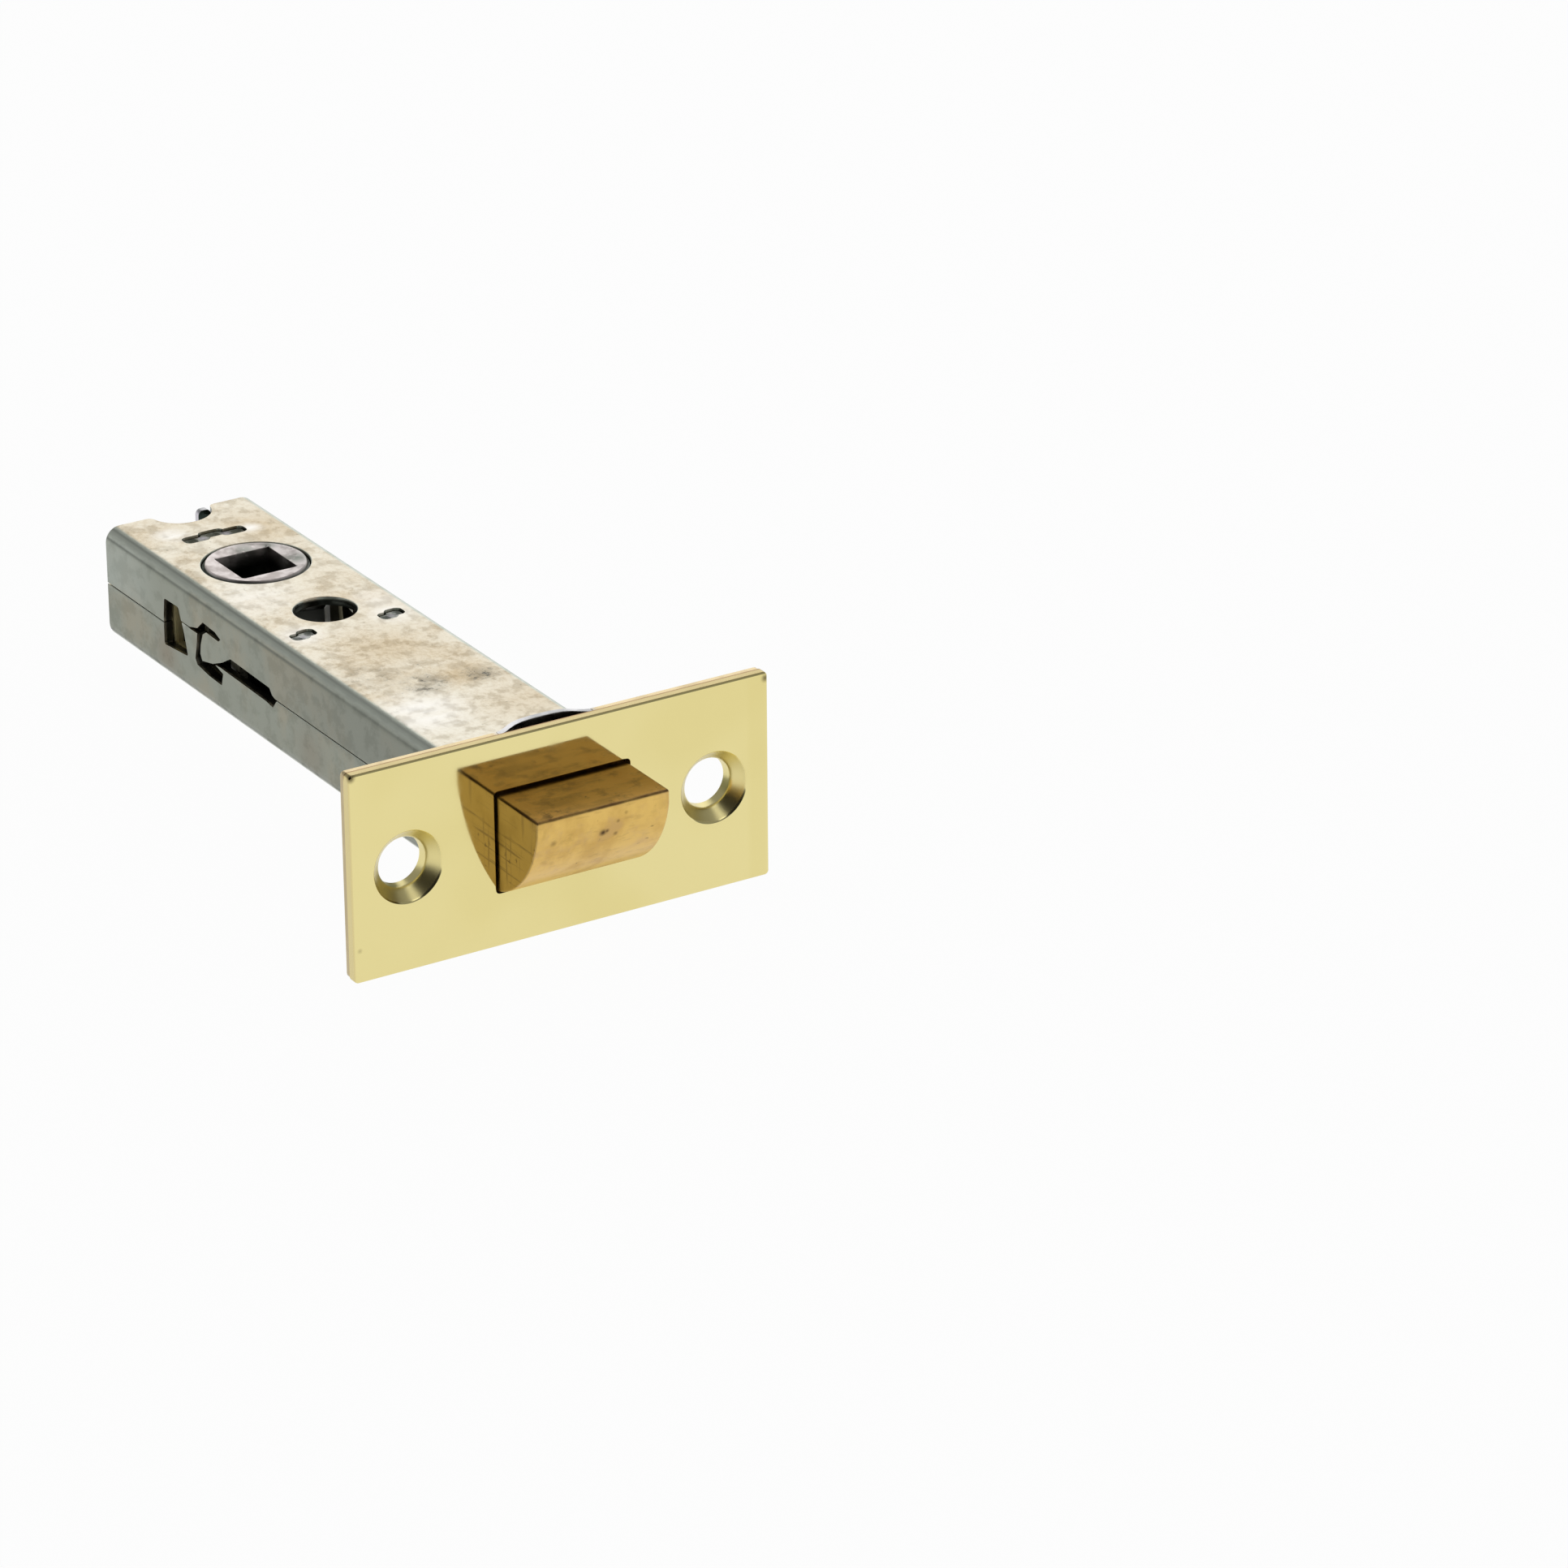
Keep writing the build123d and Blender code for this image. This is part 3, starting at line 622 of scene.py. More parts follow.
def zinc_flats(n):
    """The flats of the case: tan clouds, scours and painted highlights, and clusters of dark
    specks.
    """
    tan = (0.57, 0.41, 0.19)
    cloud = n.cloud((60, 6, 0.62), 0.42)
    mottle = n.cloud((380, 6, 0.68), 0.44, 0.62)
    stains = n.times(n.spots(CASE_STAINS), n.ramp(cloud, start=0.55))
    n.coat(tan, n.most(n.times(cloud, 0.42), stains))
    n.coat(tan, mottle, 0.16)
    grain = n.cloud((1700, 5, 0.7), 0.44, 0.60)
    n.coat((0.50, 0.37, 0.19), grain, n.math("MULTIPLY_ADD", cloud, 0.22, 0.16))
    streaks = n.noise(520, 4, 0.6, n.mapped((1.0, 0.12, 1.0), -28))
    # Near-white streaks: scours round the tabs and painted highlight elsewhere.
    n.coat((0.97, 0.94, 0.87), n.spots(CASE_SCOURS_AND_GLINTS), n.ramp(streaks, 0.35, 0.6, 0.6))
    fine = n.most(n.cloud((800, 6, 0.75), 0.50, 0.60), 0.35)
    blot = n.times(n.spots(CASE_SPECKS), n.times(fine, n.cloud((240, 4, 0.6), 0.30, 0.48)))
    specks = n.cloud((1300, 3, 0.6), 0.69, 0.76)
    n.coat((0.13, 0.12, 0.09), n.most(n.times(blot, 1.3), n.times(specks, 0.42)))
    return mottle


def zinc_flank(n):
    """The sides of the case: stained green-grey and painted darker as shade, dimmer ahead and paler
    at the rear.
    """
    n.coat((0.36, 0.30, 0.20), n.cloud((90, 5, 0.6, n.mapped((1.0, 1.0, 0.7))), 0.46), 0.4)
    n.coat((0.24, 0.19, 0.13), n.spots(FLANK_STAINS))
    n.coat((0.19, 0.20, 0.165), n.past("X", -75, -25), n.past("Z", -1.5, 1.0), 0.6)
    n.coat((0.37, 0.405, 0.36), n.past("X", -84, -98), n.past("Z", -1.0, 1.0), 0.75)
    return n.colour


def zinc_steel():
    """Zinc-plated sheet: stained flats; green-grey sides, folds, inside and cut walls with painted
    shade and light.
    """
    own = settings()
    # The sides' colour: partly their own green-grey, partly painted shade that keeps them darker
    # than the flats.
    n = Finish("zinc_steel", (0.275, 0.292, 0.240))
    flank = zinc_flank(n)
    n.colour = tuple(own.zinc_colour)
    mottle = zinc_flats(n)
    turn = n.math("ABSOLUTE", n.part("Normal", "Y"))
    # Across each fold the colour turns from the flats' to the sides' darker one: partly painted
    # shade.
    n.coat((0.66, 0.70, 0.60), n.ramp(turn, 0.12, 0.35))
    n.coat(flank, n.ramp(turn, 0.72, 0.94))
    # Dark bands across the folds at set turns of the surface, full on the left and faint on the
    # right: painted reflection.
    lines = n.most(n.times(n.line(turn, 0.5, 0.12), 0.45), n.line(turn, 0.93, 0.06))
    lines = n.times(lines, n.cloud((40, 3), 0.3, 0.6, 0.4, 0.75))
    n.coat((0.12, 0.13, 0.11), lines, n.past("Y", 4.0, 0.0, 0.3))
    # Near black on the inner faces and the cut walls of the case: painted shade.
    in_side = n.times(n.off("Y", 11.0, 10.75), n.off("Z", 5.6, 5.2))
    in_flat = n.times(n.off("Z", 7.62, 7.35), n.off("Y", 8.9, 8.6))
    n.coat((0.045, 0.055, 0.045), n.most(in_side, in_flat), 0.88)
    # Painted light on the inner wall, seen through the fixing hole.
    n.coat((0.84, 0.85, 0.82), n.spots(PAINTED_INNER_LIGHT), in_side)
    grain = n.noise(1500, 4, 0.6, n.mapped((0.3, 1.0, 1.0)))
    n.bump(n.math("ADD", grain, n.times(n.noise(160, 3), 1.2)), 0.2, 0.04)
    return n.metal(n.ramp(mottle, start=own.zinc_roughness, end=own.zinc_roughness + 0.14))


def turned_steel():
    """The follower's steel: a pale rim with some dark patches, and painted shade in the gap round
    it and in its square hole.
    """
    n = Finish("hub_steel", (0.80, 0.73, 0.70))
    cloud = n.cloud((420, 5, 0.6))
    n.coat((0.55, 0.48, 0.44), cloud, 0.5)
    flat = n.mapped((1, 1, 0), move=(-FOLLOWER_X * MM, 0, 0))
    reach = n.times(n.new("VectorMath", {0: flat}, operation="LENGTH")["Value"], 1 / MM)
    # Dark on the journal's outer wall, in the gap round it in the case: painted shade.
    n.coat((0.055, 0.075, 0.06), n.ramp(reach, 6.72, 6.88))
    # Near black on the walls of the square hole, deepest inside: painted shade.
    across = n.most(n.apart(n.along("X"), FOLLOWER_X), n.apart(n.along("Y"), 0.0))
    n.coat((0.02, 0.024, 0.018), n.ramp(across, 4.3, 4.12), n.off("Z", 7.9, 5.5))
    n.coat((0.42, 0.40, 0.38), n.past("Y", 0.0, 5.0), 0.4)
    # Darker grey-green patches by the edges of the square hole.
    n.coat((0.22, 0.24, 0.20), n.spots(HUB_DARK_PATCHES), n.cloud((900, 4, 0.6), 0.30, 0.46))
    n.bump(n.noise(2900, 4, 0.6), 0.3)
    return n.metal(n.ramp(cloud, start=0.32, end=0.5))


def yellow_zinc():
    """The yoke's yellow plating, bright on its outer faces, with painted shade inside the case bar
    one spot.
    """
    n = Finish("yellow_zinc", (0.95, 0.84, 0.44))
    cloud = n.cloud((260, 5, 0.6))
    n.coat((0.72, 0.64, 0.32), cloud)
    # Near black inside the case and ahead: painted shade, left out at one painted lit spot.
    shaded_inside = n.most(n.off("Y", 9.5, 9.2), n.past("X", -78.0, -76.0))
    unlit = n.math("SUBTRACT", 1.0, n.spots(YOKE_LIT_SPOT))
    n.coat((0.03, 0.03, 0.022), shaded_inside, unlit, n.past("X", -79.5, -76.5, 0.3), 0.94)
    n.bump(n.noise(1800, 4, 0.6), 0.25)
    return n.metal(n.ramp(cloud, start=0.4, end=0.55), 0.1)


def staked_steel():
    """The cross plates: dark squashed ends with painted highlights on their ridges, painted black
    shade inside the case.
    """
    n = Finish("staked_steel", (0.62, 0.65, 0.59))
    cloud = n.cloud((700, 5, 0.65))
    n.coat((0.32, 0.34, 0.29), cloud)
    n.coat((0.17, 0.175, 0.115), n.past("X", -80, -90), 0.75)
    # Pale lavender on the tab ridges: painted highlight.
    n.coat((0.46, 0.43, 0.46), n.spots(TAB_RIDGE_HIGHLIGHTS))
    # Near black inside the case: painted shade.
    n.coat((0.03, 0.035, 0.028), n.off("Z", 7.3, 6.9), 0.9)
    n.bump(n.noise(2400, 4, 0.6), 0.45)
    return n.metal(n.ramp(cloud, start=0.34, end=0.55), 0.6)


def plated_steel(name, edge, ahead):
    """Bright plated steel with one tint on the rim that looks left, and painted shade on the faces
    that look ahead.
    """
    n = Finish(name, (0.74, 0.73, 0.74))
    cloud = n.cloud((240, 5, 0.6))
    n.coat((0.56, 0.56, 0.56), cloud)
    n.coat(edge, n.looks("Y", -0.5, -0.9))
    # Darker on the faces that look ahead, behind the forend or into the case: painted shade.
    n.coat(ahead, n.looks("X", 0.3, 0.8))
    crest, beside = n.off("Z", 13.0, 13.6), n.off("Y", 6.4, 7.6, -1.25)
    n.coat((0.80, 0.64, 0.36), n.looks("Z", 0.3, 0.8), crest, beside)
    n.bump(n.noise(1700, 4, 0.6), 0.2)
    return n.metal(n.ramp(cloud, start=0.22, end=0.38))


def plain_metal(name, light, shadow, smoothest, wave):
    """A worked metal with clouded colour, uneven roughness and a fine scuff."""
    n = Finish(name, light)
    n.coat(shadow, n.cloud((wave, 5, 0.6)))
    fine = n.noise(wave * 7, 4, 0.6)
    n.bump(fine, 0.2)
    return n.metal(n.ramp(fine, 0.3, 0.7, smoothest, 0.4))


def make_materials():
    """Every finish of the latch, by the piece it is on."""
    wire = ("spring_wire", (0.45, 0.44, 0.42), (0.25, 0.24, 0.23))
    rods = ("turned_steel", (0.56, 0.55, 0.52), (0.36, 0.34, 0.31))
    return {
        "forend": polished_brass(),
        "bolt": sawn_brass(),
        "case": zinc_steel(),
        # The second colour of each plate is painted shade on its faces that look ahead.
        "plate": plated_steel("plate_steel", (0.56, 0.46, 0.27), (0.30, 0.29, 0.27)),
        "end": plated_steel("end_steel", (0.66, 0.64, 0.68), (0.07, 0.10, 0.08)),
        "hub": turned_steel(),
        "staked": staked_steel(),
        "yellow": yellow_zinc(),
        "steel": plain_metal(*rods, 0.25, 500),
        "spring": plain_metal(*wire, 0.22, 600),
    }


# Settings a user may change


def colour_of(name, description, default):
    """A colour that the user may change."""
    words = {"name": name, "description": description, "subtype": "COLOR"}
    return FloatVectorProperty(**words, size=3, default=default, min=0, max=1)


def roughness_of(name, description, default):
    """A roughness that the user may change."""
    words = {"name": name, "description": description, "subtype": "FACTOR"}
    return FloatProperty(**words, default=default, min=0, max=1)


def angle_of(name, description, degrees):
    """An angle that the user may change."""
    words = {"name": name, "description": description, "subtype": "ANGLE"}
    return FloatProperty(**words, default=math.radians(degrees))


class LatchSettings(bpy.types.PropertyGroup):
    """Sizes and finishes of the latch."""

    edge_round: FloatProperty(
        name="Forend edge",
        description="Radius of the rounded rim of the brass forend, in millimetres",
        default=0.35,
        min=0.1,
        max=0.6,
    )
    punch_round: FloatProperty(
        name="Punched edge",
        description="Softness of the sheet's cut edges, in millimetres",
        default=0.12,
        min=0.02,
        max=0.3,
    )
    brass_colour: colour_of("Forend brass", "Colour of the polished forend", (0.86, 0.755, 0.355))
    brass_roughness: roughness_of("Forend roughness", "Roughness of the polished forend", 0.05)
    bolt_colour: colour_of("Bolt brass", "Colour of the bare bolt", (0.80, 0.535, 0.157))
    bolt_roughness: roughness_of("Bolt roughness", "Roughness of the bare bolt", 0.3)
    zinc_colour: colour_of("Case zinc", "Colour of the case's clean zinc", (0.85, 0.80, 0.665))
    zinc_roughness: roughness_of("Case roughness", "Roughness of the case's zinc", 0.3)
    lamp_power: FloatProperty(
        name="Lamp",
        description="Power of the large soft lamp, in watts",
        subtype="POWER",
        default=1.25,
        min=0,
    )


class StageSettings(bpy.types.PropertyGroup):
    """Camera of the stage."""

    azimuth: angle_of(
        "Azimuth",
        "Turn of the camera round the latch, from the side where it looks along +Y",
        58.16,
    )
    elevation: angle_of("Elevation", "Height of the camera above the latch's own level", 24.08)
    roll: angle_of("Roll", "Turn of the picture about the line of sight", -0.44)
    distance: FloatProperty(
        name="Distance",
        description="From the camera to the point it is aimed at",
        subtype="DISTANCE",
        default=0.90658,
    )
    lens: FloatProperty(
        name="Lens",
        description="Focal length on a sensor 36 millimetres wide",
        default=167.59,
        min=20,
        max=300,
    )


def settings():
    """The latch's settings in this scene."""
    return bpy.context.scene.latch_settings


def finish_named(name):
    """A material of the latch by the piece it is on, all made when one is first asked for."""
    scene = bpy.context.scene
    if scene.get("latch_finishes") is None:
        scene["latch_finishes"] = {key: made.name for key, made in make_materials().items()}
    return bpy.data.materials[scene["latch_finishes"][name]]


# Forend


# Depth behind the forend's face and radius, of the dimple's back and of what it takes away
DIMPLE = ((1.0, 5.3), (1.4, 5.2), (1.7, 4.75), (2.1, 4.4), (2.6, 4.22), (3.35, 4.2), (3.5, 4.05))
COUNTERSINK = (
    *((-1.0, 5.0), (-0.001, 5.0), (0.04, 4.9), (0.14, 4.79), (0.34, 4.63), (0.9, 4.14)),
    *((1.4, 3.66), (1.65, 3.43), (1.82, 3.34), (2.05, SCREW_CLEAR), (3.3, SCREW_CLEAR)),
    *((3.45, 3.4), (3.6, 3.5), (4.5, 3.5)),
)


def screw_forms(name, stations):
    """The same turned form at both screws."""
    inward = [(-depth, radius) for depth, radius in stations]
    return [turned(name, inward, "X", (0, side * SCREW_PLACE, 0)) for side in SIDES]


def aperture(depth_low, depth_high):
    """The bolt's opening, with rounded corners."""
    low, high = (depth_low, -APERTURE_Y, APERTURE_FOOT), (depth_high, APERTURE_Y, APERTURE_TOP)
    return round_edges(block("opening", low, high), running("X"), APERTURE_CORNER, 5)


class LATCH_OT_forend(bpy.types.Operator):
    """Builds the brass forend: rounded rim, two pressed countersinks and the bolt's opening"""

    bl_idname = "latch.forend"
    bl_label = "Brass forend"

    def execute(self, context):
        plate = slab("forend", -FOREND_THICKNESS, 0, FOREND_Y, FOREND_Z, FOREND_CORNER, 6)
        round_edges(plate, lambda a, b: min(a.x, b.x) > -TOUCH, settings().edge_round, 4)
        add(plate, *screw_forms("dimple", DIMPLE))
        cut(plate, *screw_forms("countersink", COUNTERSINK))
        cut(plate, aperture(-3, 1))
        round_edges(plate, on_aperture_front, APERTURE_SOFT, 2)
        shade(plate)
        dress(plate, "brass_forend", "forend", "forend_brass", "case", "forend_plate")
        return {"FINISHED"}


def on_aperture_front(a, b):
    """True for the edges round the bolt's opening in the front face."""
    for end in (a, b):
        if end.x < -TOUCH or abs(end.y) > APERTURE_Y + TOUCH:
            return False
        if not APERTURE_FOOT - TOUCH < end.z < APERTURE_TOP + TOUCH:
            return False
    return True


# Steel plate


# Section of the bowed strip: place along Y and depth behind the plate's front
BOW = (
    *((-8.0, 0.0), (-7.4, 0.12), (-6.7, 0.5), (-5.8, 1.1), (-4.8, 1.65), (-3.6, 2.02)),
    *((-1.8, 2.2), (0.8, 2.18), (2.2, 1.95), (3.2, 1.45), (4.1, 0.75), (4.8, 0.25), (5.5, 0.0)),
)


def span(side, near, far):
    """The low and the high end of a reach to one side."""
    return sorted((side * near, side * far))


def bowed_strip(side):
    """The strip bowed back along one long edge of the steel plate."""
    front = [(-FOREND_THICKNESS - depth, y) for y, depth in BOW]
    rear = [(x - PLATE_THICKNESS, y) for x, y in reversed(front)]
    outline = [(x, side * y) for x, y in front + rear]
    return prism("strip", outline, *span(side, STRIP_NEAR, STRIP_FAR), "Z")


class LATCH_OT_plate(bpy.types.Operator):
    """Builds the steel plate behind the forend, with its two bowed strips"""

    bl_idname = "latch.plate"
    bl_label = "Steel plate"

    def execute(self, context):
        half = FOREND_Y - PLATE_MARGIN, FOREND_Z - PLATE_MARGIN
        plate = slab("plate", CASE_FRONT, -FOREND_THICKNESS, *half, FOREND_CORNER, 6)
        for side in SIDES:
            cut(plate, rod("dimple_hole", DIMPLE_HOLE, -4, 0, "X", (0, side * SCREW_PLACE, 0)))
            low, high = span(side, STRIP_NEAR, 15)
            start, end = span(side, BOW[0][0], BOW[-1][0])
            cut(plate, block("lance", (-4, start, low), (0, end, high)))
        cut(plate, aperture(-3, 0))
        soften(plate, PLATE_SOFT)
        for side in SIDES:
            add(plate, soften(bowed_strip(side), STRIP_SOFT))
        shade(plate)
        dress(plate, "steel_plate", "plate", "plated_steel", "case", "inner_forend")
        return {"FINISHED"}


# Case


# Openings of the left side wall, as x and z
REAR_SLOT = (
    *((-85.4, -3.1), (-85.4, 0.4), (-85.0, 3.6), (-81.0, 3.7)),
    *((-80.4, 2.2), (-79.6, 0.5), (-78.7, -2.5)),
)
HOOK_GAP = (
    *((-78.1, 1.95), (-75.7, 2.6), (-74.1, 3.95), (-70.7, 3.75), (-69.2, 3.2), (-69.8, 2.75)),
    *((-73.2, 2.85), (-74.2, 2.2), (-74.9, 0.5), (-75.1, -0.85), (-74.6, -1.7), (-71.1, -0.95)),
    *((-68.8, -1.5), (-69.3, -3.3), (-72.7, -3.2), (-76.1, -2.75), (-76.6, -2.0), (-76.1, 0.0)),
    *((-75.8, 1.8), (-78.1, 1.75)),
)
LONG_SLOT = (
    *((-71.6, -1.05), (-69.0, 0.05), (-66.6, 1.4), (-55.9, 1.2), (-55.2, 0.4)),
    *((-54.0, 0.0), (-55.1, -1.3), (-57.0, -1.05), (-69.6, -0.85)),
)
# Seams between them: rear end, front end and level
SEAMS = ((-103, -85.2, 0.0), (-80.5, -77.8, 1.85), (-54.4, -2, 0.0))
SEAM_HALF = 0.07
SEAM_GROOVE = 0.08
WALL_NEAR = 9.0  # inside and outside of a side wall, for what cuts through it
WALL_FAR = 12.5


def side_cutters(turn):
    """The slots and seams of one side wall: turn is 1 for the left and -1 for its half turn."""
    cutters = []
    for outline in (REAR_SLOT, HOOK_GAP, LONG_SLOT):
        corners = [(x, turn * z) for x, z in outline]
        cutters.append(prism("slot", corners, *span(-turn, WALL_NEAR, WALL_FAR)))
    round_edges(cutters[0], running("Y"), 0.3)
    for rear, front, level in SEAMS:
        cutters.append(prism("seam", seam_outline(turn, turn * level), rear, front, "X"))
    return cutters


def seam_outline(turn, level):
    """Section of one seam: a thin gap that opens to a small groove at the outer face."""
    mouth = SEAM_HALF + SEAM_GROOVE
    half = [(-WALL_NEAR, SEAM_HALF), (SEAM_GROOVE - CASE_Y, SEAM_HALF)]
    half += [(-CASE_Y, mouth), (-WALL_FAR, mouth)]
    corners = half + [(y, -z) for y, z in reversed(half)]
    return [(turn * y, level + z) for y, z in corners]


def lobes(x, y, width, count, grow, low, high, rim=0.0):
    """A tab's squashed end: rounded lobes in a row along Y, grown all round, with soft rims."""
    lobe = width / count + LOBE_OVERLAP
    pitch = (width - lobe) / (count - 1)
    half_x, half_y = LOBE_SPREAD / 2 + grow, lobe / 2 + grow
    form = None
    for number in range(count):
        ahead = x + (-LOBE_STAGGER if number % 2 else LOBE_STAGGER)
        across = y + (lobe - width) / 2 + number * pitch
        start, end = (ahead - half_x, across - half_y, low), (ahead + half_x, across + half_y, high)
        one = round_edges(block("lobe", start, end), running("Z"), LOBE_CORNER + grow, 5)
        if rim:
            round_edges(one, lambda a, b: min(abs(a.z), abs(b.z)) > TAB_TOP - TOUCH, rim)
        form = one if form is None else add(form, one)
    return form


def seat_lobes(side, level, grow, reach, rim=0.0):
    """One staked tab of the spring seat, out to the given reach."""
    ends = span(level, TAB_ROOT, reach)
    return lobes(SEAT_X, side * SEAT_TAB_Y, SEAT_TAB_WIDTH, 2, grow, *ends, rim)


def stop_lobes(level, grow, reach, rim=0.0):
    """The wide staked tab of the rear stop, out to the given reach."""
    return lobes(REAR_STOP_X, 0, STOP_TAB_WIDTH, 3, grow, *span(level, TAB_ROOT, reach), rim)


def tab_slots():
    """The holes in both flats that the cross plates' tabs are staked into."""
    cutters = []
    for level in SIDES:
        cutters += [seat_lobes(side, level, SLOT_GROW, SLOT_REACH) for side in SIDES]
        cutters.append(stop_lobes(level, SLOT_GROW, SLOT_REACH))
    return cutters


def notch_outline():
    """The half-round fixing notch with its mouth's corners rounded, open to the rear."""
    mouth = NOTCH_MOUTH_ROUND
    apart = NOTCH_RADIUS + mouth
    corner = math.sqrt(apart * apart - mouth * mouth)
    lean = math.atan2(corner, mouth)
    half = [(CASE_REAR - 2, corner)]
    for step in range(7):
        angle = math.pi + lean * step / 6
        half.append((CASE_REAR + mouth + mouth * math.cos(angle), corner + mouth * math.sin(angle)))
    for step in range(1, 17):
        angle = lean * (1 - step / 16)
        half.append((CASE_REAR + NOTCH_RADIUS * math.cos(angle), NOTCH_RADIUS * math.sin(angle)))
    return half + [(x, -y) for x, y in reversed(half[:-1])]


def case_tube():
    """The closed tube that both channels are parts of."""
    tube = slab("tube", CASE_REAR, CASE_FRONT, CASE_Y, CASE_Z, CASE_BEND, 8)
    inner = CASE_Y - CASE_WALL, CASE_Z - CASE_WALL, CASE_BEND - CASE_WALL
    return cut(tube, slab("inside", CASE_REAR - 1, CASE_FRONT + 1, *inner, 5))


def rolled_hole(radius, x):
    """A hole through both flats with its outer rims rolled over."""
    wide, partly = radius + HOLE_ROLL, HOLE_ROLL * 0.3
    upper = [(CASE_Z - HOLE_ROLL, radius), (CASE_Z - partly, radius + partly)]
    upper += [(CASE_Z, wide), (OUTSIDE, wide)]
    lower = [(-along, reach) for along, reach in reversed(upper)]
    return turned("hole", lower + upper, "Z", (x, 0, 0), 128)


class LATCH_OT_case(bpy.types.Operator):
    """Builds the case: one tube cut along its hooked seam into two channels"""

    bl_idname = "latch.case"
    bl_label = "Case channels"

    def execute(self, context):
        tube = case_tube()
        cut(tube, *side_cutters(1), *side_cutters(-1))
        cut(tube, rolled_hole(FOLLOWER_HOLE, FOLLOWER_X), rolled_hole(FIXING_HOLE, FIXING_X))
        cut(tube, prism("notch", notch_outline(), -OUTSIDE, OUTSIDE, "Z"))
        cut(tube, *tab_slots())
        pick(tube)
        bpy.ops.mesh.separate(type="LOOSE")
        halves = context.selected_objects
        if len(halves) != 2:
            raise RuntimeError(f"the case came apart into {len(halves)} pieces instead of 2")
        halves.sort(key=lambda half: sum(vertex.co.z for vertex in half.data.vertices))
        for half, name in zip(halves, ("lower", "upper")):
            soften(half, settings().punch_round)
            shade(half)
            dress(half, f"{name}_channel", "case", "plated_steel", "case", f"case_{name}")
        return {"FINISHED"}


# Cross plates


def dent(x, y, level, reach, depth):
    """A round punch dent in the end of a tab."""
    deselect()
    radius = (reach * reach + depth * depth) / (2 * depth)
    bpy.ops.mesh.primitive_uv_sphere_add(segments=32, ring_count=16, radius=radius * MM)
    ball = bpy.context.object
    ball.location = (x * MM, y * MM, level * (TAB_TOP + radius - depth) * MM)
    return settle(ball)


def require_tabs(plate):
    """Raises an error if a squashed end was lost at either flat, on either side."""
    places = [vertex.co / MM for vertex in plate.data.vertices]
    for level in SIDES:
        for side in SIDES:
            if not any(place.z * level > 7.0 and place.y * side > 1.0 for place in places):
                raise RuntimeError(f"{plate.name} has lost a tab at z {level}, y {side}")


class LATCH_OT_cross_plates(bpy.types.Operator):
    """Builds the spring seat and the rear stop, with their staked tab ends"""

    bl_idname = "latch.cross_plates"
    bl_label = "Cross plates"

    def execute(self, context):
        seat = slab("seat", SEAT_X - CROSS_HALF, SEAT_X + CROSS_HALF, CROSS_Y, CROSS_Z)
        for level in SIDES:
            for side in SIDES:
                tab = seat_lobes(side, level, TAB_GROW, TAB_TOP, TAB_RIM)
                for lobe in SIDES:
                    x, y = SEAT_X - lobe * SEAT_DENT_X, side * SEAT_TAB_Y + lobe * SEAT_DENT_Y
                    cut(tab, dent(x, y, level, *SEAT_DENT))
                add(seat, tab)
        ends = (SEAT_X - 2, SEAT_X + 2, "X")
        cut(seat, rod("stem_way", STEM_WAY, *ends))
        for side in SIDES:
            cut(seat, rod("pin_way", GUIDE_WAY, *ends, (0, side * GUIDE_Y, 0)))
        rear, front = REAR_STOP_X - CROSS_HALF, REAR_STOP_X + CROSS_HALF
        stop = slab("stop", rear, front, CROSS_Y, CROSS_Z)
        for level in SIDES:
            tab = stop_lobes(level, TAB_GROW, TAB_TOP, TAB_RIM)
            for y, ahead in STOP_DENTS:
                cut(tab, dent(REAR_STOP_X + ahead, y, level, *STOP_DENT))
            add(stop, tab)
        for plate, node in ((seat, "spring_seat"), (stop, "rear_stop")):
            require_tabs(plate)
            shade(plate)
            dress(plate, f"staked_{node}", "staked", "plain_steel", "case", node)
        return {"FINISHED"}


# End plate


class LATCH_OT_end_plate(bpy.types.Operator):
    """Builds the end wall: two wings, a half tube round the notch and the lip in its mouth"""

    bl_idname = "latch.end_plate"
    bl_label = "End plate"

    def execute(self, context):
        rear = CASE_REAR + END_GAP
        front = rear + END_THICKNESS
        notch = (CASE_REAR, 0, 0)
        wall = slab("wall", rear, front, END_Y, CROSS_Z, END_CORNER)
        ring = rod("ring", RING_RADIUS, -CROSS_Z, CROSS_Z, "Z", notch)
        cut(ring, block("behind", (CASE_REAR - 10, -10, -10), (rear, 10, 10)))
        add(wall, ring)
        cut(wall, rod("way", RING_BORE, -20, 20, "Z", notch))
        lip = block("lip", (rear, 2.2, -LIP_Z), (front, 4.1, LIP_Z))
        add(wall, round_edges(lip, running("X"), LIP_CORNER, 5))
        add(wall, block("foot", (rear, 3.9, -CROSS_Z), (front, 5.2, CROSS_Z)))
        soften(wall, END_SOFT)
        shade(wall)
        dress(wall, "notch_wall", "end", "plated_steel", "case", "end_plate")
        return {"FINISHED"}


# Follower


# Height and radius of the follower's upper half: barrel, flange, journal and its dished end
HUB = (
    *((0.0, 6.6), (3.4, 6.6), (3.4001, 7.9), (6.5, 7.9), (6.5001, 7.2), (7.4, 7.2), (7.5, 7.12)),
    *((7.55, 6.95), (7.65, 6.85), (7.9, 6.78), (8.02, 6.66), (8.05, 6.5), (8.02, 6.2), (7.9, 5.4)),
)
EAR = ((6.2, -1.96), (9.6, 0.0), (8.98, -3.4), (5.2, -4.4))


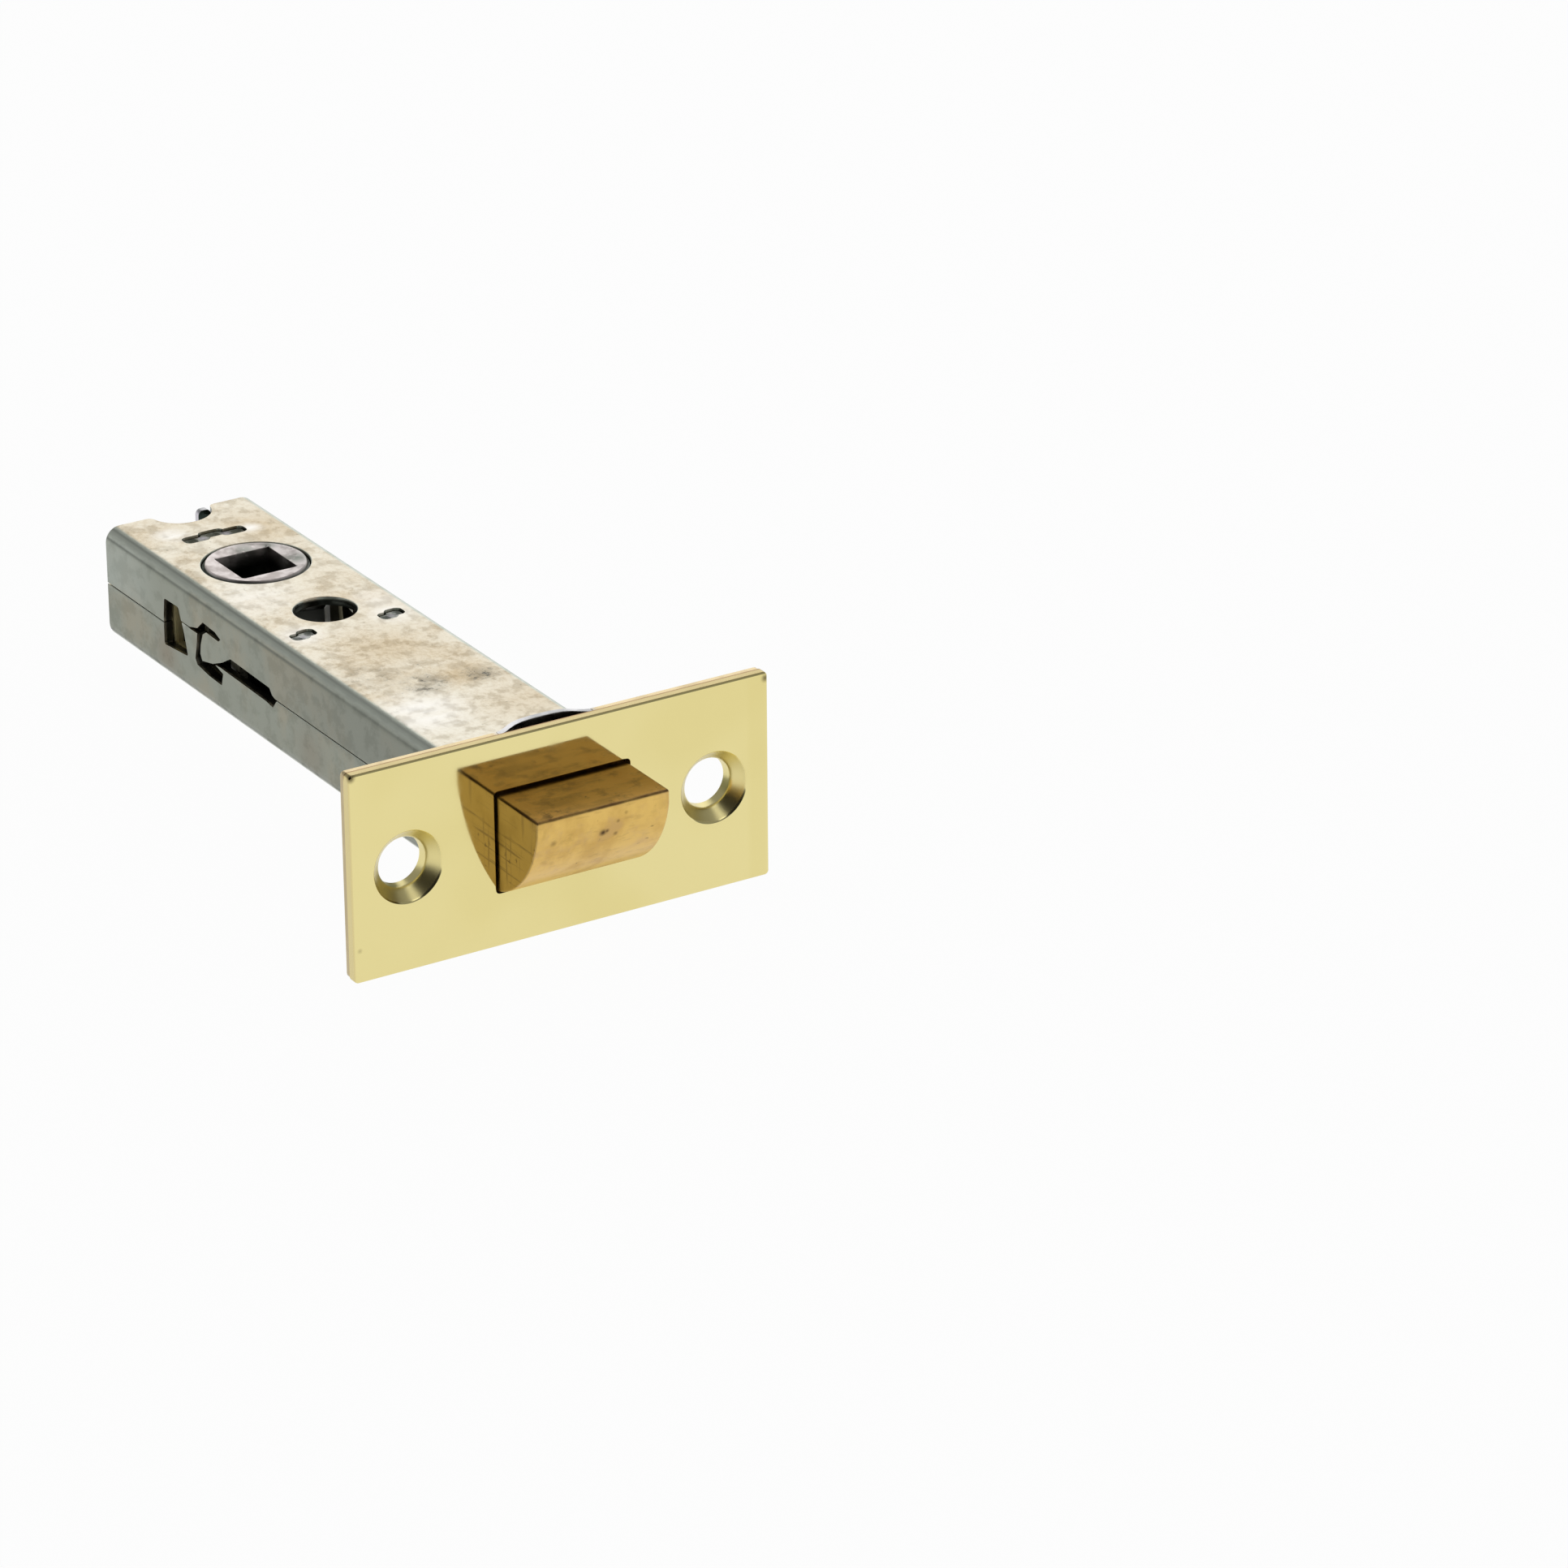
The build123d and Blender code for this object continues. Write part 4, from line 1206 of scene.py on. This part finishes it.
class LATCH_OT_follower(bpy.types.Operator):
    """Builds the follower: dished journals, flanges, two ears and the square hole"""

    bl_idname = "latch.follower"
    bl_label = "Follower"

    def execute(self, context):
        lower = [(-along, radius) for along, radius in reversed(HUB)]
        hub = turned("hub", [*lower, *HUB[1:]], "Z", (FOLLOWER_X, 0, 0), 128)
        for side in SIDES:
            add(hub, prism("ear", ear_outline(side), -EAR_Z, EAR_Z, "Z"))
        rear, front = FOLLOWER_X - SQUARE_HALF, FOLLOWER_X + SQUARE_HALF
        cut(hub, slab("square", rear, front, SQUARE_HALF, 9))
        soften(hub, HUB_SOFT)
        shade(hub)
        dress(hub, "follower_hub", "hub", "follower_steel", "follower", "follower")
        return {"FINISHED"}


def ear_outline(side):
    """One ear, which leans 30 degrees towards the forend at rest."""
    lean = math.radians(EAR_LEAN)
    outline = []
    for reach, lead in EAR:
        x = reach * math.cos(lean) - lead * math.sin(lean)
        y = reach * math.sin(lean) + lead * math.cos(lean)
        outline.append((FOLLOWER_X + x, side * y))
    return outline


# Bolt


def circle_through(first, second, third):
    """Centre and radius of the circle through three points in a plane."""
    (ax, az), (bx, bz), (cx, cz) = first, second, third
    twice = 2 * (ax * (bz - cz) + bx * (cz - az) + cx * (az - bz))
    a, b, c = ax * ax + az * az, bx * bx + bz * bz, cx * cx + cz * cz
    x = (a * (bz - cz) + b * (cz - az) + c * (az - bz)) / twice
    z = (a * (cx - bx) + b * (ax - cx) + c * (bx - ax)) / twice
    return x, z, math.hypot(ax - x, az - z)


def bevel_profile():
    """The bolt's side view: square nose and rounded bevel."""
    nose, bulge, heel = (BOLT_NOSE, 4.6), (7.35, -1.35), (0.0, -BOLT_Z)
    x, z, radius = circle_through(nose, bulge, heel)
    start = math.atan2(nose[1] - z, nose[0] - x)
    end = math.atan2(heel[1] - z, heel[0] - x)
    steps = 28
    profile = [(BOLT_REAR, -BOLT_Z), (BOLT_REAR, BOLT_Z), (BOLT_NOSE, BOLT_Z)]
    for step in range(steps + 1):
        angle = start + (end - start) * step / steps
        profile.append((x + radius * math.cos(angle), z + radius * math.sin(angle)))
    return profile


class LATCH_OT_bolt(bpy.types.Operator):
    """Builds the solid bolt with its curved bevel, shoulders and bores"""

    bl_idname = "latch.bolt"
    bl_label = "Latch bolt"

    def execute(self, context):
        bolt = prism("bolt", bevel_profile(), -BOLT_Y, BOLT_Y)
        round_edges(bolt, on_bolt_outline, BOLT_EDGE, 4)
        half = SHOULDER_Y, BOLT_Z
        add(bolt, slab("shoulder", BOLT_REAR, SHOULDER_FRONT, *half, SHOULDER_CORNER))
        cut(bolt, rod("spring_bore", 5.2, -18, -8.5, "X"))
        cut(bolt, rod("stem_bore", 2.02, -17, -2.2, "X"))
        cut(bolt, rod("pin_bore", 1.42, -8, 8, "Z", (-5.2, 0, 0)))
        shade(bolt, 28)
        dress(bolt, "brass_bolt", "bolt", "bolt_brass", "latch", "latch_bolt")
        return {"FINISHED"}


def on_bolt_outline(a, b):
    """True for the edges that are rounded: the nose, the top's sides and, ahead, the bevel's."""
    ahead = min(a.x, b.x) > -TOUCH
    along_outline = abs(a.y - b.y) < TOUCH
    nose = min(a.x, b.x) > BOLT_NOSE - TOUCH
    top = min(a.z, b.z) > 6.5
    return (ahead and along_outline) or nose or (top and along_outline)


# Springs


def coil(name, radius, wire, turns, low, high, y):
    """A compression spring along X with closed ends, made from a curve with the wire's bevel."""
    deselect()
    start, end = low + wire / 2, high - wire / 2
    steps = 28
    closed = 0.9
    tight = wire * 1.04
    total = turns + 2 * closed
    curve = bpy.data.curves.new(name, "CURVE")
    curve.dimensions = "3D"
    curve.bevel_depth = wire / 2 * MM
    curve.bevel_resolution = 5
    curve.use_fill_caps = True
    line = curve.splines.new("POLY")
    count = int(total * steps) + 1
    line.points.add(count - 1)
    pitch = (end - start - 2 * closed * tight) / turns
    x = start
    for index, point in enumerate(line.points):
        turn = index / steps
        angle = 2 * math.pi * turn
        across, up = y + radius * math.cos(angle), radius * math.sin(angle)
        point.co = (x * MM, across * MM, up * MM, 1)
        near_end = turn < closed or turn > total - closed
        x += (tight if near_end else pitch) / steps
    obj = bpy.data.objects.new(name, curve)
    bpy.context.scene.collection.objects.link(obj)
    pick(obj)
    bpy.ops.object.convert(target="MESH")
    obj = bpy.context.object
    bpy.ops.object.shade_smooth()
    return obj


class LATCH_OT_springs(bpy.types.Operator):
    """Winds the bolt spring and the two return springs"""

    bl_idname = "latch.springs"
    bl_label = "Springs"

    def execute(self, context):
        for side, name in zip(SIDES, ("left", "right")):
            spring = coil(f"closed_{name}_spring", *RETURN_SPRING, side * GUIDE_Y)
            node = f"return_spring_{name}"
            dress(spring, f"wound_{name}_spring", "spring", "spring_steel", "case", node)
            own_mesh(spring)
        spring = coil("closed_bolt_spring", *BOLT_SPRING, 0)
        dress(spring, "wound_bolt_spring", "spring", "spring_steel", "latch", "bolt_spring")
        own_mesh(spring)
        return {"FINISHED"}


# Pieces that keep their CAD shape


class LATCH_OT_inner_finish(bpy.types.Operator):
    """Gives the inner pieces that keep their CAD shape their finishes"""

    bl_idname = "latch.inner_finish"
    bl_label = "Inner finishes"

    def execute(self, context):
        turned_nodes = ("bolt_stem", "bolt_pin", "stem_washer", "spring_cup")
        finishes = dict.fromkeys((*turned_nodes, "spring_pin_left", "spring_pin_right"), "steel")
        finishes.update(stem_clip="spring", yoke="yellow")
        for node, name in finishes.items():
            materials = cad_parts[node].data.materials
            materials.clear()
            materials.append(finish_named(name))
        return {"FINISHED"}


# Stage


def floor_material():
    """A white floor that shines by itself, bar a trace of shadow, and is clear from below."""
    material = bpy.data.materials.new("white_floor")
    n = Nodes(material, empty=True)
    ray = n.new("LightPath")
    mirrored = n.times(ray["Is Glossy Ray"], 0.85)
    share = n.math("MULTIPLY_ADD", ray["Is Camera Ray"], 0.97, mirrored)
    plain = n.new("BsdfDiffuse", {"Color": (0.9, 0.9, 0.9, 1)})[0]
    glow = n.new("Emission", {"Strength": 1.0})[0]
    above = n.choose(share, plain, glow)
    mixed = n.choose(n.new("NewGeometry")["Backfacing"], above, n.new("BsdfTransparent")[0])
    n.new("OutputMaterial", {"Surface": mixed})
    return material


def make_world():
    """White to the camera; else a dim room with a white horizon, darkest behind the camera."""
    world = bpy.data.worlds.new("soft_room")
    bpy.context.scene.world = world
    n = Nodes(world, empty=True)
    place = n.new("TexCoord")["Generated"]
    horizon = n.ramp(n.new("SeparateXYZ", {"Vector": place})["Z"], 0.10, 0.34, 1.0, 0.30)
    inputs = {0: place, 1: Vector((0.55, -0.60, 0.58)).normalized()}
    toward_dark = n.new("VectorMath", inputs, operation="DOT_PRODUCT")["Value"]
    light = n.times(horizon, n.ramp(toward_dark, 0.62, 0.92, 1.0, 0.06))
    room = n.new("Background", {"Color": (0.97, 0.98, 1.0, 1), "Strength": light})[0]
    white = n.new("Background", {"Strength": 1.0})[0]
    mixed = n.choose(n.new("LightPath")["Is Camera Ray"], room, white)
    n.new("OutputWorld", {"Surface": mixed})


def lamp(name, place, target, size, power):
    """A large soft lamp aimed at a point, all in metres."""
    data = bpy.data.lights.new(name, "AREA")
    data.shape = "RECTANGLE"
    data.size, data.size_y = size
    data.energy = power
    obj = bpy.data.objects.new(name, data)
    bpy.context.scene.collection.objects.link(obj)
    obj.location = place
    obj.rotation_euler = (Vector(target) - Vector(place)).to_track_quat("-Z", "Y").to_euler()


AIM_RIGHT = 0.02738  # from the frame's origin to the middle of the picture, in metres
AIM_UP = 0.00532


def make_camera(stage):
    """The camera at the photograph's angle, from the stage's settings, in metres."""
    a, e, r = stage.azimuth, stage.elevation, stage.roll
    back = Vector((math.sin(a) * math.cos(e), -math.cos(a) * math.cos(e), math.sin(e)))
    level = Vector((math.cos(a), math.sin(a), 0))
    rise = back.cross(level)
    right = level * math.cos(r) + rise * math.sin(r)
    up = rise * math.cos(r) - level * math.sin(r)
    aim_point = right * AIM_RIGHT + up * AIM_UP
    data = bpy.data.cameras.new("view")
    data.sensor_width = 36
    data.lens = stage.lens
    data.clip_start = 0.05
    data.clip_end = 20
    camera = bpy.data.objects.new("view", data)
    bpy.context.scene.collection.objects.link(camera)
    camera.rotation_mode = "QUATERNION"
    camera.location = aim_point + back * stage.distance
    turn = camera.matrix_basis.to_3x3()
    turn.col[0], turn.col[1], turn.col[2] = right, up, back
    camera.rotation_quaternion = turn.to_quaternion()
    bpy.context.scene.camera = camera


class LATCH_OT_stage(bpy.types.Operator):
    """Lays the white floor, makes the room and its soft lamps, and places the camera"""

    bl_idname = "latch.stage"
    bl_label = "Stage"

    def execute(self, context):
        deselect()
        bpy.ops.mesh.primitive_plane_add(size=6.0)
        floor = context.object
        floor.name = "floor"
        slope = math.atan2(FOREND_Z - CASE_Z, CAD_REACH)
        floor.rotation_euler = (0, slope, 0)
        floor.location = (0, 0, -FOREND_Z * MM)
        settle(floor)
        floor.data.materials.append(floor_material())
        make_world()
        power = settings().lamp_power
        lamp("back_softbox", (-0.75, 0.52, 0.50), (-0.04, 0, 0), (0.8, 0.6), power)
        lamp("top_softbox", (0.38, 0.12, 0.92), (0, 0, 0), (0.34, 0.34), power * 0.3)
        make_camera(context.scene.latch_stage)
        return {"FINISHED"}


class LATCH_PT_panel(bpy.types.Panel):
    """The latch's tools in the sidebar"""

    bl_idname = "LATCH_PT_panel"
    bl_label = "Door Latch"
    bl_space_type = "VIEW_3D"
    bl_region_type = "UI"
    bl_category = "Door Latch"

    def draw(self, context):
        layout = self.layout
        for group in (context.scene.latch_settings, context.scene.latch_stage):
            for name in group.bl_rna.properties.keys():
                if name not in ("rna_type", "name"):
                    layout.prop(group, name)
        for operator in STEPS:
            layout.operator(operator.bl_idname)


STEPS = (
    LATCH_OT_stage,
    LATCH_OT_forend,
    LATCH_OT_plate,
    LATCH_OT_case,
    LATCH_OT_cross_plates,
    LATCH_OT_end_plate,
    LATCH_OT_follower,
    LATCH_OT_bolt,
    LATCH_OT_springs,
    LATCH_OT_inner_finish,
)
CLASSES = (LatchSettings, StageSettings, *STEPS, LATCH_PT_panel)


def register():
    """Adds the latch's classes and its settings to Blender."""
    for cls in CLASSES:
        bpy.utils.register_class(cls)
    bpy.types.Scene.latch_settings = PointerProperty(type=LatchSettings)
    bpy.types.Scene.latch_stage = PointerProperty(type=StageSettings)


def unregister():
    """Takes them away again."""
    del bpy.types.Scene.latch_stage
    del bpy.types.Scene.latch_settings
    for cls in reversed(CLASSES):
        bpy.utils.unregister_class(cls)


def main():
    """Builds the latch and its stage."""
    register()
    bpy.context.scene.view_settings.view_transform = "Standard"
    bpy.ops.latch.stage()
    bpy.ops.latch.forend()
    bpy.ops.latch.plate()
    bpy.ops.latch.case()
    bpy.ops.latch.cross_plates()
    bpy.ops.latch.end_plate()
    bpy.ops.latch.follower()
    bpy.ops.latch.bolt()
    bpy.ops.latch.springs()
    bpy.ops.latch.inner_finish()


if __name__ == "__main__":
    main()
